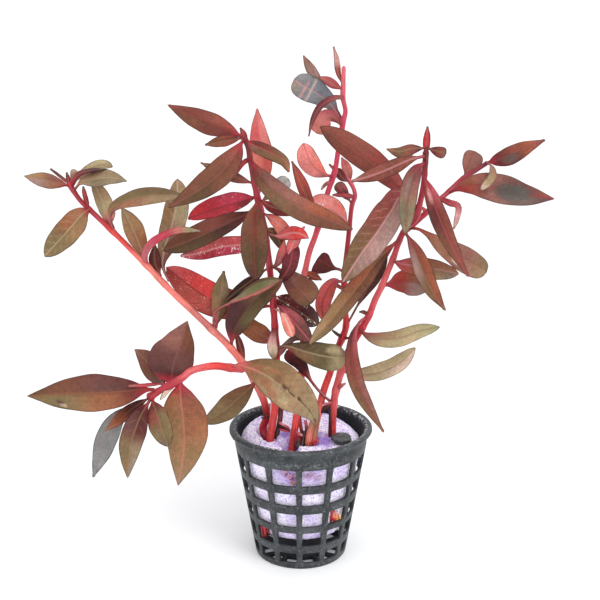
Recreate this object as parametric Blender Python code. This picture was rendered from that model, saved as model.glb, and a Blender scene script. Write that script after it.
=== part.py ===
"""Potted stem plant: red stems with lance-shaped leaves, held by a roll of foam in a small net pot."""

import math

import bpy
from mathutils import Vector

# Clearing the scene
for old in list(bpy.data.objects):
    bpy.data.objects.remove(old, do_unlink=True)

MM = 0.001

# Net pot, in millimetres
POT_RIM_RADIUS = 26.0
POT_HEIGHT = 48.8
POT_FOOT_RADIUS = 16.75
POT_BAND_RADIUS = 23.78
POT_BAND_BOTTOM = 41.4
POT_WALL = 1.2
POT_FLOOR = 1.2
POT_RIB = 2.1
POT_SECTORS = 13
POT_TURN = math.radians(-1.5)
POT_DISC_RADIUS = 10.5
POT_SLOT_RADIUS = 15.0
POT_WINDOWS = ((2.4, 6.6), (9.6, 15.2), (17.7, 23.2), (26.5, 31.5), (34.5, 41.0))
# The lip's sections: radius and height outside, then inside
POT_LIP = (
    (24.28, 47.2, 23.18, 47.2),
    (POT_RIM_RADIUS, 47.8, 23.38, 48.0),
    (POT_RIM_RADIUS, POT_HEIGHT, 23.88, POT_HEIGHT),
)

# Foam roll, in millimetres
FOAM_GAP = 0.6
FOAM_BOTTOM = 10.9
FOAM_TOP = 46.8
FOAM_SIDES = 24
FOAM_LEAN = (-0.05, 0.04)
FOAM_EDGE = ((14.8, FOAM_BOTTOM), (16.2, FOAM_BOTTOM + 1.2))
FOAM_WALL_HEIGHTS = (17.5, 29.0, 40.5)
FOAM_SHOULDER = ((21.54, 43.8), (19.4, 45.8), (15.0, FOAM_TOP))
# Slots for the stems: from, to, half width, and how far down they reach
FOAM_SLOTS = (
    ((-13.4, -3.1), (-9.8, -7.0), 2.6, 22.0),
    ((-2.7, -11.5), (4.5, -11.2), 3.1, 28.0),
    ((11.5, -4.9), (12.1, -4.9), 2.2, 22.0),
)
# The slit at the front: left, right, back and front edges, and how far down it reaches
NOTCH = (-7.4, 1.0, -12.0, -26.0)
NOTCH_BOTTOM = 31.6
CUT_TOP = 60.0

# Stone chip, in millimetres
CHIP_CENTRE = (14.4, -10.8, 47.85)
CHIP_HALF_WIDTH = 3.5
CHIP_HALF_DEPTH = 3.0
CHIP_SIDES = 8
CHIP_TWIST = 0.3
CHIP_LUMP = 0.09
CHIP_TILT = 0.25
# Heights above the centre, each with its share of the full width
CHIP_RINGS = ((-2.0, 0.62), (-0.9, 0.95), (0.6, 0.92), (1.8, 0.6))

# Plant, in millimetres
LEAF_THICKNESS = 0.5
PETIOLE_THICKNESS = 1.1
STEM_SIDES = 6
STEM_GAP = 0.4

# Stem and leaf points are read on an upright sheet that shows the plant from the front.
# The sheet's eye stands in front of the pot; each point also has its depth behind the pot's axis.
EYE_AWAY = 342.0
EYE_HEIGHT = 184.0
EYE_TILT = math.radians(14.46)
SHEET_SCALE = 1002.0
SHEET_AXIS = 300.8
SHEET_MIDDLE = 300.0

# Edges between round faces stay soft below this angle
SMOOTH_ANGLE = math.radians(50)

# Where leaves have their sections, from stalk to tip
LEAF_STEPS = (0.0, 0.1, 0.23, 0.38, 0.54, 0.7, 0.86, 1.0)
SMALL_LEAF_STEPS = (0.0, 0.2, 0.45, 0.75, 1.0)
LONG_LINE = 6

# Half width along a leaf, as a share of its widest place
LEAF_FORMS = {
    "lance": ((0, 0.08), (0.08, 0.14), (0.2, 0.52), (0.35, 0.86), (0.5, 1), (0.65, 0.9), (0.8, 0.62),
        (0.92, 0.27), (1, 0)),
    "oval": ((0, 0.08), (0.08, 0.18), (0.2, 0.62), (0.35, 0.92), (0.5, 1), (0.7, 0.95), (0.85, 0.7),
        (0.95, 0.36), (1, 0)),
    "blunt": ((0, 0.08), (0.1, 0.2), (0.25, 0.6), (0.45, 0.9), (0.6, 1), (0.8, 0.97), (0.93, 0.72),
        (1, 0.3)),
    "strip": ((0, 0.6), (0.2, 1), (0.5, 1), (0.8, 0.8), (1, 0.1)),
    "bud": ((0, 0.6), (0.3, 1), (0.6, 0.95), (0.85, 0.5), (1, 0)),
}

# Surface colours
COLOURS = {
    "pot_black": (0.045, 0.048, 0.052, 1.0),
    "foam_lilac": (0.72, 0.62, 0.86, 1.0),
    "stone_grey": (0.06, 0.06, 0.065, 1.0),
    "stem_red": (0.52, 0.07, 0.08, 1.0),
    "leaf_olive": (0.2, 0.15, 0.06, 1.0),
    "leaf_brown": (0.19, 0.08, 0.045, 1.0),
    "leaf_red": (0.4, 0.04, 0.05, 1.0),
    "leaf_pink": (0.75, 0.25, 0.22, 1.0),
}


def material_of(name):
    """One plain material per named colour."""
    if name in bpy.data.materials:
        return bpy.data.materials[name]
    made = bpy.data.materials.new(name)
    made.use_nodes = True
    shader = made.node_tree.nodes["Principled BSDF"]
    shader.inputs["Base Color"].default_value = COLOURS[name]
    shader.inputs["Roughness"].default_value = 0.5
    made.diffuse_color = COLOURS[name]
    return made


def new_object(name, points, faces, colour):
    """A mesh object from points in millimetres."""
    mesh = bpy.data.meshes.new(name)
    mesh.from_pydata([tuple(c * MM for c in p) for p in points], [], faces)
    mesh.update()
    made = bpy.data.objects.new(name, mesh)
    bpy.context.scene.collection.objects.link(made)
    mesh.materials.append(material_of(colour))
    return made


def apply_boolean(target, other, operation):
    """Joins or cuts target with other, then removes other."""
    step = target.modifiers.new(operation.lower(), "BOOLEAN")
    step.operation = operation
    step.solver = "EXACT"
    step.object = other
    bpy.context.view_layer.update()
    graph = bpy.context.evaluated_depsgraph_get()
    mesh = bpy.data.meshes.new_from_object(target.evaluated_get(graph))
    target.modifiers.clear()
    target.data = mesh
    bpy.data.objects.remove(other, do_unlink=True)


def seen(across, down, depth):
    """The point behind a place on the front sheet, at this depth."""
    u = (across - SHEET_AXIS) / SHEET_SCALE
    v = (SHEET_MIDDLE - down) / SHEET_SCALE
    away = math.cos(EYE_TILT) + v * math.sin(EYE_TILT)
    rise = v * math.cos(EYE_TILT) - math.sin(EYE_TILT)
    reach = (depth + EYE_AWAY) / away
    return Vector((u * reach, depth, EYE_HEIGHT + rise * reach))


def curve_at(line, t):
    """A smooth curve through the line's points, and its direction, at t from 0 to 1."""
    knots = [Vector(p) for p in line]
    lengths = [0.0]
    for a, b in zip(knots, knots[1:]):
        lengths.append(lengths[-1] + (b - a).length)
    place = min(max(t, 0.0), 1.0) * lengths[-1]
    i = 0
    while i < len(knots) - 2 and place > lengths[i + 1]:
        i += 1
    span = lengths[i + 1] - lengths[i]
    s = (place - lengths[i]) / span
    start, end = knots[i], knots[i + 1]
    before = knots[i - 1] if i else start - (end - start)
    after = knots[i + 2] if i + 2 < len(knots) else end + (end - start)
    low = (end - before) * (span / max((end - before).length, 1e-6))
    high = (after - start) * (span / max((after - start).length, 1e-6))
    s2, s3 = s * s, s * s * s
    point = start * (2 * s3 - 3 * s2 + 1) + low * (s3 - 2 * s2 + s)
    point += end * (3 * s2 - 2 * s3) + high * (s3 - s2)
    slope = start * (6 * s2 - 6 * s) + low * (3 * s2 - 4 * s + 1)
    slope += end * (6 * s - 6 * s2) + high * (3 * s2 - 2 * s)
    return point, slope.normalized()


def form_at(form, t, widest):
    """Half width at t, with the form's middle moved to widest."""
    t = t ** (math.log(0.5) / math.log(widest)) if t > 0 else 0.0
    table = LEAF_FORMS[form]
    for (t0, w0), (t1, w1) in zip(table, table[1:]):
        if t <= t1:
            return w0 + (w1 - w0) * (t - t0) / (t1 - t0)
    return table[-1][1]


def ring_faces(rings, per_ring):
    """Side quads between successive rings of the same number of points."""
    faces = []
    for i in range(rings - 1):
        for j in range(per_ring):
            k = (j + 1) % per_ring
            a, b = i * per_ring, (i + 1) * per_ring
            faces.append((a + j, a + k, b + k, b + j))
    return faces


STEMS = {}


def stem(name, line, thick, thin, steps, colour="stem_red"):
    """A round stem along its line, tapering from thick to thin diameter."""
    points = []
    centres = []
    side = Vector((1, 0, 0))
    for i in range(steps):
        t = i / (steps - 1)
        place, _ = curve_at(line, t)
        here = seen(*place)
        near = seen(*curve_at(line, min(t + 0.01, 1.0))[0])
        back = seen(*curve_at(line, max(t - 0.01, 0.0))[0])
        along = (near - back).normalized()
        side = (side - along * side.dot(along)).normalized()
        other = along.cross(side)
        radius = (thick + (thin - thick) * t) / 2
        centres.append((here, radius))
        for j in range(STEM_SIDES):
            turn = 2 * math.pi * j / STEM_SIDES
            points.append(here + (side * math.cos(turn) + other * math.sin(turn)) * radius)
    faces = ring_faces(steps, STEM_SIDES)
    faces.append(tuple(reversed(range(STEM_SIDES))))
    last = (steps - 1) * STEM_SIDES
    faces.append(tuple(last + j for j in range(STEM_SIDES)))
    STEMS[name] = (new_object(name, points, faces, colour), centres)


def gap_to_stem(point, centres):
    """How far the point stands off a stem's surface."""
    best = 1e9
    for (a, ra), (b, rb) in zip(centres, centres[1:]):
        along = b - a
        s = min(max((point - a).dot(along) / along.length_squared, 0.0), 1.0)
        best = min(best, (point - a - along * s).length - (ra + (rb - ra) * s))
    return best


def leaf_section(line, halves, lifts, form, widest, t):
    """The left edge, top, right edge and underside of a leaf at t, and how wide it is there."""
    place, slope = curve_at(line, t)
    across = Vector((slope.y, -slope.x, 0))
    across = across.normalized() if across.length > 1e-6 else Vector((1, 0, 0))
    width = form_at(form, t, widest)
    left = seen(*(place + across * halves[0] * width + Vector((0, 0, lifts[0] * width))))
    right = seen(*(place - across * halves[1] * width + Vector((0, 0, lifts[1] * width))))
    middle = seen(*place)
    if (left - right).length < PETIOLE_THICKNESS:
        wide = (left - right).normalized() * PETIOLE_THICKNESS / 2 if width > 0.05 else Vector((0, 0, 0))
        left, right = middle + wide, middle - wide
    ahead = seen(*(place + slope)) - middle
    normal = ahead.cross(left - right).normalized()
    thick = LEAF_THICKNESS + (PETIOLE_THICKNESS - LEAF_THICKNESS) * max(0.0, 1 - t / 0.2)
    return [left, middle + normal * thick / 2, right, middle - normal * thick / 2]


def leaf_solid(name, line, halves, lifts, form, widest, steps, start, colour):
    """A thin leaf with a ridge on both faces, pointed at its tip."""
    points = []
    for share in steps[:-1]:
        points += leaf_section(line, halves, lifts, form, widest, start + (1 - start) * share)
    end = leaf_section(line, halves, lifts, form, widest, 1.0)
    points.append((end[0] + end[2]) / 2)
    rings = len(steps) - 1
    faces = ring_faces(rings, 4)
    faces.append((3, 2, 1, 0))
    tip = rings * 4
    for j in range(4):
        faces.append((tip - 4 + j, tip - 4 + (j + 1) % 4, tip))
    made = new_object(name, points, faces, colour)
    face_outwards(made)
    return made


def face_outwards(made):
    """Turns a closed mesh the right way out."""
    mesh = made.data
    mesh.calc_loop_triangles()
    volume = 0.0
    for tri in mesh.loop_triangles:
        a, b, c = (mesh.vertices[i].co for i in tri.vertices)
        volume += a.dot(b.cross(c))
    if volume < 0:
        mesh.flip_normals()


def leaf(name, host, line, left, right, lift_left=-1.0, lift_right=-1.0,
         form="lance", widest=0.5, colour="leaf_olive"):
    """A leaf of its own, whose stalk stops just short of its stem."""
    centres = STEMS[host][1]
    halves, lifts = (left, right), (lift_left, lift_right)
    start = 0.0
    while start < 0.5:
        stalk = [p for t in (start, start + 0.04) for p in leaf_section(line, halves, lifts, form, widest, t)]
        if min(gap_to_stem(p, centres) for p in stalk) > STEM_GAP:
            break
        start += 0.005
    made = leaf_solid(name, line, halves, lifts, form, widest, LEAF_STEPS, start, colour)
    made.parent = STEMS[host][0]


def small_leaf(host, line, left, right, lift_left=-0.5, lift_right=-0.5, form="lance", widest=0.5):
    """A small leaf, bud or scar that is one body with its stem."""
    target = STEMS[host][0]
    steps = SMALL_LEAF_STEPS if len(line) < LONG_LINE else LEAF_STEPS
    made = leaf_solid("small", line, (left, right), (lift_left, lift_right), form, widest,
                      steps, 0.0, "stem_red")
    apply_boolean(target, made, "UNION")


def net_pot():
    """A tapered pot with five rows of windows, a flared rim and slots round its floor."""
    def outer(z):
        return POT_FOOT_RADIUS + (POT_BAND_RADIUS - POT_FOOT_RADIUS) * z / POT_BAND_BOTTOM

    levels = [
        (POT_DISC_RADIUS, 0.0, POT_DISC_RADIUS, POT_FLOOR, True),
        (POT_SLOT_RADIUS, 0.0, POT_SLOT_RADIUS, POT_FLOOR, False),
        (POT_FOOT_RADIUS, 0.0, outer(POT_FLOOR) - POT_WALL, POT_FLOOR, False),
    ]
    for low, high in POT_WINDOWS:
        levels.append((outer(low), low, outer(low) - POT_WALL, low, True))
        levels.append((outer(high), high, outer(high) - POT_WALL, high, False))
    for section in POT_LIP:
        levels.append((*section, False))

    per_level = 3 * POT_SECTORS
    points = []
    for out_r, out_z, in_r, in_z, _ in levels:
        for radius, z in ((out_r, out_z), (in_r, in_z)):
            half = math.asin(POT_RIB / 2 / radius)
            for k in range(POT_SECTORS):
                middle = POT_TURN + 2 * math.pi * k / POT_SECTORS
                for turn in (middle - half, middle + half, middle + math.pi / POT_SECTORS):
                    points.append((radius * math.sin(turn), -radius * math.cos(turn), z))

    def at(level, inner, column):
        return (2 * level + inner) * per_level + column % per_level

    faces = []
    for i in range(len(levels) - 1):
        for c in range(per_level):
            if levels[i][4] and c % 3:
                faces += window_edges(at, i, c)
                continue
            faces.append((at(i, 0, c), at(i, 0, c + 1), at(i + 1, 0, c + 1), at(i + 1, 0, c)))
            faces.append((at(i, 1, c), at(i + 1, 1, c), at(i + 1, 1, c + 1), at(i, 1, c + 1)))
    top = len(levels) - 1
    under, over = len(points), len(points) + 1
    points += [(0, 0, 0), (0, 0, POT_FLOOR)]
    for c in range(per_level):
        faces.append((at(top, 0, c), at(top, 0, c + 1), at(top, 1, c + 1), at(top, 1, c)))
        faces.append((under, at(0, 0, c + 1), at(0, 0, c)))
        faces.append((over, at(0, 1, c), at(0, 1, c + 1)))
    made = new_object("net_pot", points, faces, "pot_black")
    face_outwards(made)
    return made


def window_edges(at, i, c):
    """The walls through the pot's thickness round one half of a window."""
    faces = [
        (at(i, 0, c), at(i, 0, c + 1), at(i, 1, c + 1), at(i, 1, c)),
        (at(i + 1, 0, c + 1), at(i + 1, 0, c), at(i + 1, 1, c), at(i + 1, 1, c + 1)),
    ]
    if c % 3 == 1:
        faces.append((at(i, 0, c), at(i, 1, c), at(i + 1, 1, c), at(i + 1, 0, c)))
    else:
        d = c + 1
        faces.append((at(i, 0, d), at(i + 1, 0, d), at(i + 1, 1, d), at(i, 1, d)))
    return faces


def pillar(points_xy, low, high):
    """An upright prism over a flat outline, for cutting."""
    count = len(points_xy)
    points = [(x, y, low) for x, y in points_xy] + [(x, y, high) for x, y in points_xy]
    faces = [(j, (j + 1) % count, count + (j + 1) % count, count + j) for j in range(count)]
    faces.append(tuple(reversed(range(count))))
    faces.append(tuple(range(count, 2 * count)))
    made = new_object("cutter", points, faces, "foam_lilac")
    face_outwards(made)
    return made


def slot_outline(a, b, radius, sides=8):
    """An outline with round ends that reaches from a to b."""
    a, b = Vector(a), Vector(b)
    along = (b - a).normalized() if (b - a).length > 1e-6 else Vector((1, 0))
    start = math.atan2(along.y, along.x) + math.pi / 2
    outline = []
    for centre, first in ((a, start), (b, start + math.pi)):
        for j in range(sides // 2 + 1):
            turn = first + math.pi * j / (sides // 2)
            outline.append((centre.x + radius * math.cos(turn), centre.y + radius * math.sin(turn)))
    return outline


def foam_roll():
    """A plug of foam with a rounded top, holes for the stems and a slit at the front."""
    def inside(z):
        slope = (POT_BAND_RADIUS - POT_FOOT_RADIUS) / POT_BAND_BOTTOM
        return POT_FOOT_RADIUS + slope * z - POT_WALL - FOAM_GAP

    walls = [(inside(z), z) for z in FOAM_WALL_HEIGHTS]
    profile = [*FOAM_EDGE, *walls, *FOAM_SHOULDER]
    points = []
    for radius, z in profile:
        for j in range(FOAM_SIDES):
            turn = 2 * math.pi * (j + 0.5) / FOAM_SIDES
            x, y = radius * math.sin(turn), -radius * math.cos(turn)
            lean = FOAM_LEAN[0] * x + FOAM_LEAN[1] * y if z > FOAM_WALL_HEIGHTS[-1] else 0
            points.append((x, y, z + lean))
    faces = ring_faces(len(profile), FOAM_SIDES)
    faces.append(tuple(reversed(range(FOAM_SIDES))))
    last = (len(profile) - 1) * FOAM_SIDES
    faces.append(tuple(last + j for j in range(FOAM_SIDES)))
    made = new_object("foam_roll", points, faces, "foam_lilac")
    face_outwards(made)
    left, right, back, front = NOTCH
    cuts = [(slot_outline(a, b, radius), low) for a, b, radius, low in FOAM_SLOTS]
    cuts.append(([(left, back), (right, back), (right, front), (left, front)], NOTCH_BOTTOM))
    for outline, low in cuts:
        apply_boolean(made, pillar(outline, low, CUT_TOP), "DIFFERENCE")
    return made


def stone_chip():
    """A rounded chip of stone lying on the foam by the rim."""
    points = []
    for i, (rise, share) in enumerate(CHIP_RINGS):
        for j in range(CHIP_SIDES):
            turn = 2 * math.pi * (j + CHIP_TWIST * i) / CHIP_SIDES
            reach = share * (1 + CHIP_LUMP * math.sin(3.1 * j + 1.7 * i))
            points.append((CHIP_CENTRE[0] + CHIP_HALF_WIDTH * reach * math.cos(turn),
                           CHIP_CENTRE[1] + CHIP_HALF_DEPTH * reach * math.sin(turn),
                           CHIP_CENTRE[2] + rise + CHIP_TILT * math.cos(turn + 1)))
    faces = ring_faces(len(CHIP_RINGS), CHIP_SIDES)
    faces.append(tuple(reversed(range(CHIP_SIDES))))
    last = (len(CHIP_RINGS) - 1) * CHIP_SIDES
    faces.append(tuple(last + j for j in range(CHIP_SIDES)))
    made = new_object("stone_chip", points, faces, "stone_grey")
    face_outwards(made)
    return made


def all_stems():
    """The five stems that stand in the foam, and two side branches."""
    stem("left_stem", [(263, 492, -4), (264, 470, -3), (266, 440, -3), (263, 428, -2), (267, 417, -2),
        (266, 408, -3), (262, 396, -4), (250, 373, -5), (240, 359.5, -5), (230, 347, -5),
        (213, 330.4, -4), (200, 318, -3), (180, 299.5, -2), (160, 279.5, 0), (145, 263.5, 1),
        (130, 248.5, 2), (115, 233.5, 2), (105, 224, 3), (90, 210, 3), (80, 200, 4), (73, 190, 4),
        (68, 182, 4)], 3.1, 1.6, 20)
    stem("low_left_branch", [(244, 368.5, -10), (232, 367.5, -12), (215, 366, -14), (200, 368, -17),
        (190, 371.5, -19), (182, 378, -21), (170, 385, -23), (157, 392, -25), (148, 399, -26)], 2.5,
        1.9, 9)
    stem("inner_left_stem", [(273, 495, -7), (272.5, 470, -7), (273, 441, -6.5), (274.5, 420, -6.5),
        (276.5, 400, -6.5), (277, 380, -6.5), (276, 350, -6.5), (274.5, 320, -7), (273, 300, -8),
        (270, 270, -9), (267, 245, -10), (263, 220, -12), (258, 200, -14), (254, 182, -16),
        (251, 165, -18), (248, 147, -20), (244, 137, -21)], 3, 1.7, 16)
    stem("tall_stem", [(289, 484, -16.5), (292.5, 446, -10.5), (296, 420, -9), (299, 400, -8),
        (301, 380, -7), (303, 350, -5), (303, 320, -3), (304, 280, 0), (307, 262, 2), (310, 250, 3),
        (315, 237, 4), (322, 215, 6), (327, 195, 7), (331, 183, 8), (335, 170, 8), (338, 152, 9),
        (341, 135, 10), (343.5, 120, 10), (345.5, 111, 10), (343, 98, 10), (343.2, 85, 10),
        (343.8, 66, 10)], 2.9, 1.5, 20)
    stem("centre_stem", [(309, 472, -12), (310.5, 445, -10.5), (314, 430, -10), (319, 410, -8.5),
        (324, 390, -6), (331, 370, -4), (338, 348, -1), (346, 326, 1), (344, 300, 5), (345, 270, 9),
        (347, 250, 11), (349, 232, 12), (350, 222, 13), (352, 205, 14), (355, 195, 14), (352, 185, 14),
        (346, 177, 14)], 3, 1.4, 18)
    stem("right_stem", [(334, 490, -5), (332, 440, -5), (332.5, 420, -5.5), (333.5, 405, -6),
        (336, 390, -6.5), (341, 372, -7), (348, 352, -7), (356, 338, -6), (364, 325, -6),
        (370, 313, -5), (375, 300, -5), (381, 288, -5), (388, 271, -5), (394.5, 255, -5),
        (399.5, 240, -5), (404, 231.5, -5), (411, 226.5, -4), (418, 220.5, -3), (427, 212, -2),
        (440, 199.5, 0), (450, 190.5, 2), (462, 179, 4), (475, 171, 5), (488, 162.5, 6)], 3.2, 1.5, 22)
    stem("right_inner_branch", [(407.5, 225.5, -9), (411, 223.5, -10.5), (416, 217, -12),
        (419.5, 205, -14), (423, 188, -16), (425, 168, -18), (426, 150, -20)], 2.2, 1.6, 8)


def left_leaves():
    """Leaves of the left stem, from its tip down."""
    host = "left_stem"
    leaf("left_leaf_1", host, [(70, 186, 4), (58, 183, 2), (42, 179.5, -2), (24, 176, -5)], 8, 7.5, -3,
        2)
    leaf("left_leaf_2", host, [(74, 190, 4), (82, 182, -1), (92, 180.5, -2), (108, 178, -4),
        (127, 181, -6)], 9, 7.5, 2, -3, widest=0.55)
    leaf("left_leaf_3", host, [(91, 209, 3), (83, 214, 0), (72, 226.5, -3), (60, 240, -6),
        (44.5, 257, -9)], 12.5, 13.5, -3, 2, "oval", 0.44, "leaf_brown")
    leaf("left_leaf_4", host, [(114, 229, 2), (110, 218, -1), (113, 208, -2), (130, 200, -4),
        (150, 196, -5), (168, 195.5, -7), (187, 196, -8)], 9.5, 8.5, 3, -3, widest=0.55)
    leaf("left_leaf_5", host, [(169, 281, -1), (162.5, 265, 3), (165.5, 246, 6), (172, 225, 8),
        (177, 200, 10), (177.5, 178.5, 11)], 11.5, 13.5, 2, 2, "oval", 0.6)
    leaf("left_leaf_6", host, [(147, 265, 1), (141, 248, 1), (132, 227, -1), (121.5, 207, -3)], 9.5, 11,
        -1, -1, widest=0.55)
    leaf("left_leaf_7", host, [(216, 328, -4), (219, 307, -1), (221, 289, 0), (224, 270.5, 1)], 9, 9.5,
        1, 1, widest=0.48)
    leaf("left_leaf_8", host, [(213.5, 326, -4), (214.5, 314, -9), (221, 307.5, -12), (238, 300.5, -15),
        (256, 293, -18), (283, 279.5, -20.5)], 8.5, 2.5, 3, -1, widest=0.72)
    leaf("left_leaf_9", host, [(231.5, 345, -5), (233, 335, -8), (240, 320, -10), (251, 304, -11.5),
        (265, 291, -13.5), (283, 280, -16)], 16, 12, -1, -1, "oval", 0.47)
    leaf("mid_leaf", host, [(258, 380, -5), (243.5, 394, -10), (229, 407, -13), (214, 417.5, -15),
        (199, 424, -16)], 11.5, 12, -3, 2)
    small_leaf(host, [(70, 184, 4), (61, 177, 7), (50, 168.5, 10)], 1.6, 1.6, 0, 0, "strip")
    small_leaf(host, [(69, 182, 4), (66.5, 172, 5)], 2, 2, 0, 0, "bud")
    small_leaf(host, [(70, 184.5, 4), (73, 177, 8), (73, 169, 11)], 3, 5, 1, 1, "blunt")
    small_leaf(host, [(71, 186, 4), (77, 175, 2), (88, 171, -1), (98, 169.5, -2), (107, 169, -2)], 2.5,
        3, 2, -2, "bud")
    small_leaf(host, [(72, 187, 4), (80, 176, 8), (94, 167, 9), (105, 164.5, 9), (113, 167, 9)], 5.5,
        5.5, 0, 2, "oval", 0.6)
    small_leaf(host, [(110, 227, 3), (107.5, 212, 6), (101.5, 197, 8), (92.5, 181, 9)], 8, 8.5, 1, -1,
        "oval", 0.45)
    small_leaf(host, [(88, 206, 3), (85, 196, 1), (83, 186, -1)], 2.4, 2.4, 0, 0, "strip")
    small_leaf(host, [(146, 264, 1), (145, 254, -4), (151, 244, -7), (163, 236, -7), (180, 230, -7),
        (201, 231, -7)], 4, 3.5, 1, -1, "strip")
    small_leaf(host, [(161, 276, 0), (155, 262, 3), (155, 244, 4)], 6, 6.5, 0, 0)
    small_leaf(host, [(245, 364, -5), (240, 346, -3), (236, 331, -2)], 4, 4, 0, 0)


def low_left_leaves():
    """The rosette at the end of the low left branch, and the leaf in front."""
    host = "low_left_branch"
    leaf("low_left_leaf_1", host, [(154, 389.5, -26), (140, 390, -29), (120, 392, -32),
        (97, 393.5, -35), (60, 395, -38), (26.5, 396, -40)], 18.5, 19.5, -5, 4, widest=0.46)
    leaf("low_left_leaf_2", host, [(143, 402, -25), (120, 416, -25), (107.5, 436, -26),
        (100.5, 456, -28), (93, 477.5, -30)], 11, 11, 1, 1, widest=0.55)
    leaf("low_left_leaf_3", host, [(150, 400, -26.5), (140.5, 416, -35), (132, 440, -38),
        (129, 458, -39), (127.5, 478.5, -39)], 12, 13, -1, -1, widest=0.48, colour="leaf_brown")
    leaf("low_left_leaf_4", host, [(152, 399, -26), (157, 413, -32), (162, 429, -37),
        (168.5, 447, -39)], 10.5, 12, -1, -1, "oval", 0.48, "leaf_brown")
    leaf("low_left_leaf_5", host, [(180, 381, -21.5), (181, 400, -25), (184, 425, -28), (184, 450, -29),
        (178, 486, -29)], 24, 21.5, 1, 1, widest=0.4, colour="leaf_brown")
    leaf("low_left_leaf_6", host, [(171, 384, -22), (172, 373, -16), (174.5, 360, -13), (180, 345, -11),
        (187.5, 320.5, -10)], 26, 20, 1, 1, widest=0.35, colour="leaf_brown")
    leaf("front_leaf", host, [(234, 366, -12), (241, 365, -14.5), (253, 369, -18), (265, 374.5, -20.5),
        (278, 383, -22), (291.5, 394, -22.5), (303, 403.5, -22.5), (311.5, 414, -22), (317, 426, -22)],
        22, 19, -1, -2)
    small_leaf(host, [(151, 397, -25.7), (138, 404.5, -27), (126, 413.5, -30), (115, 423, -34),
        (104, 431.5, -35)], 6.5, 6.5, -1, -1)
    small_leaf(host, [(166, 387, -23.5), (157, 377, -12), (148, 363, -5), (134.5, 349, -4)], 10, 15, 0,
        1)
    small_leaf(host, [(175, 383, -22), (167, 391, -24.5), (160, 400, -27)], 2.6, 2.6, 0, 0, "strip")


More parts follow.
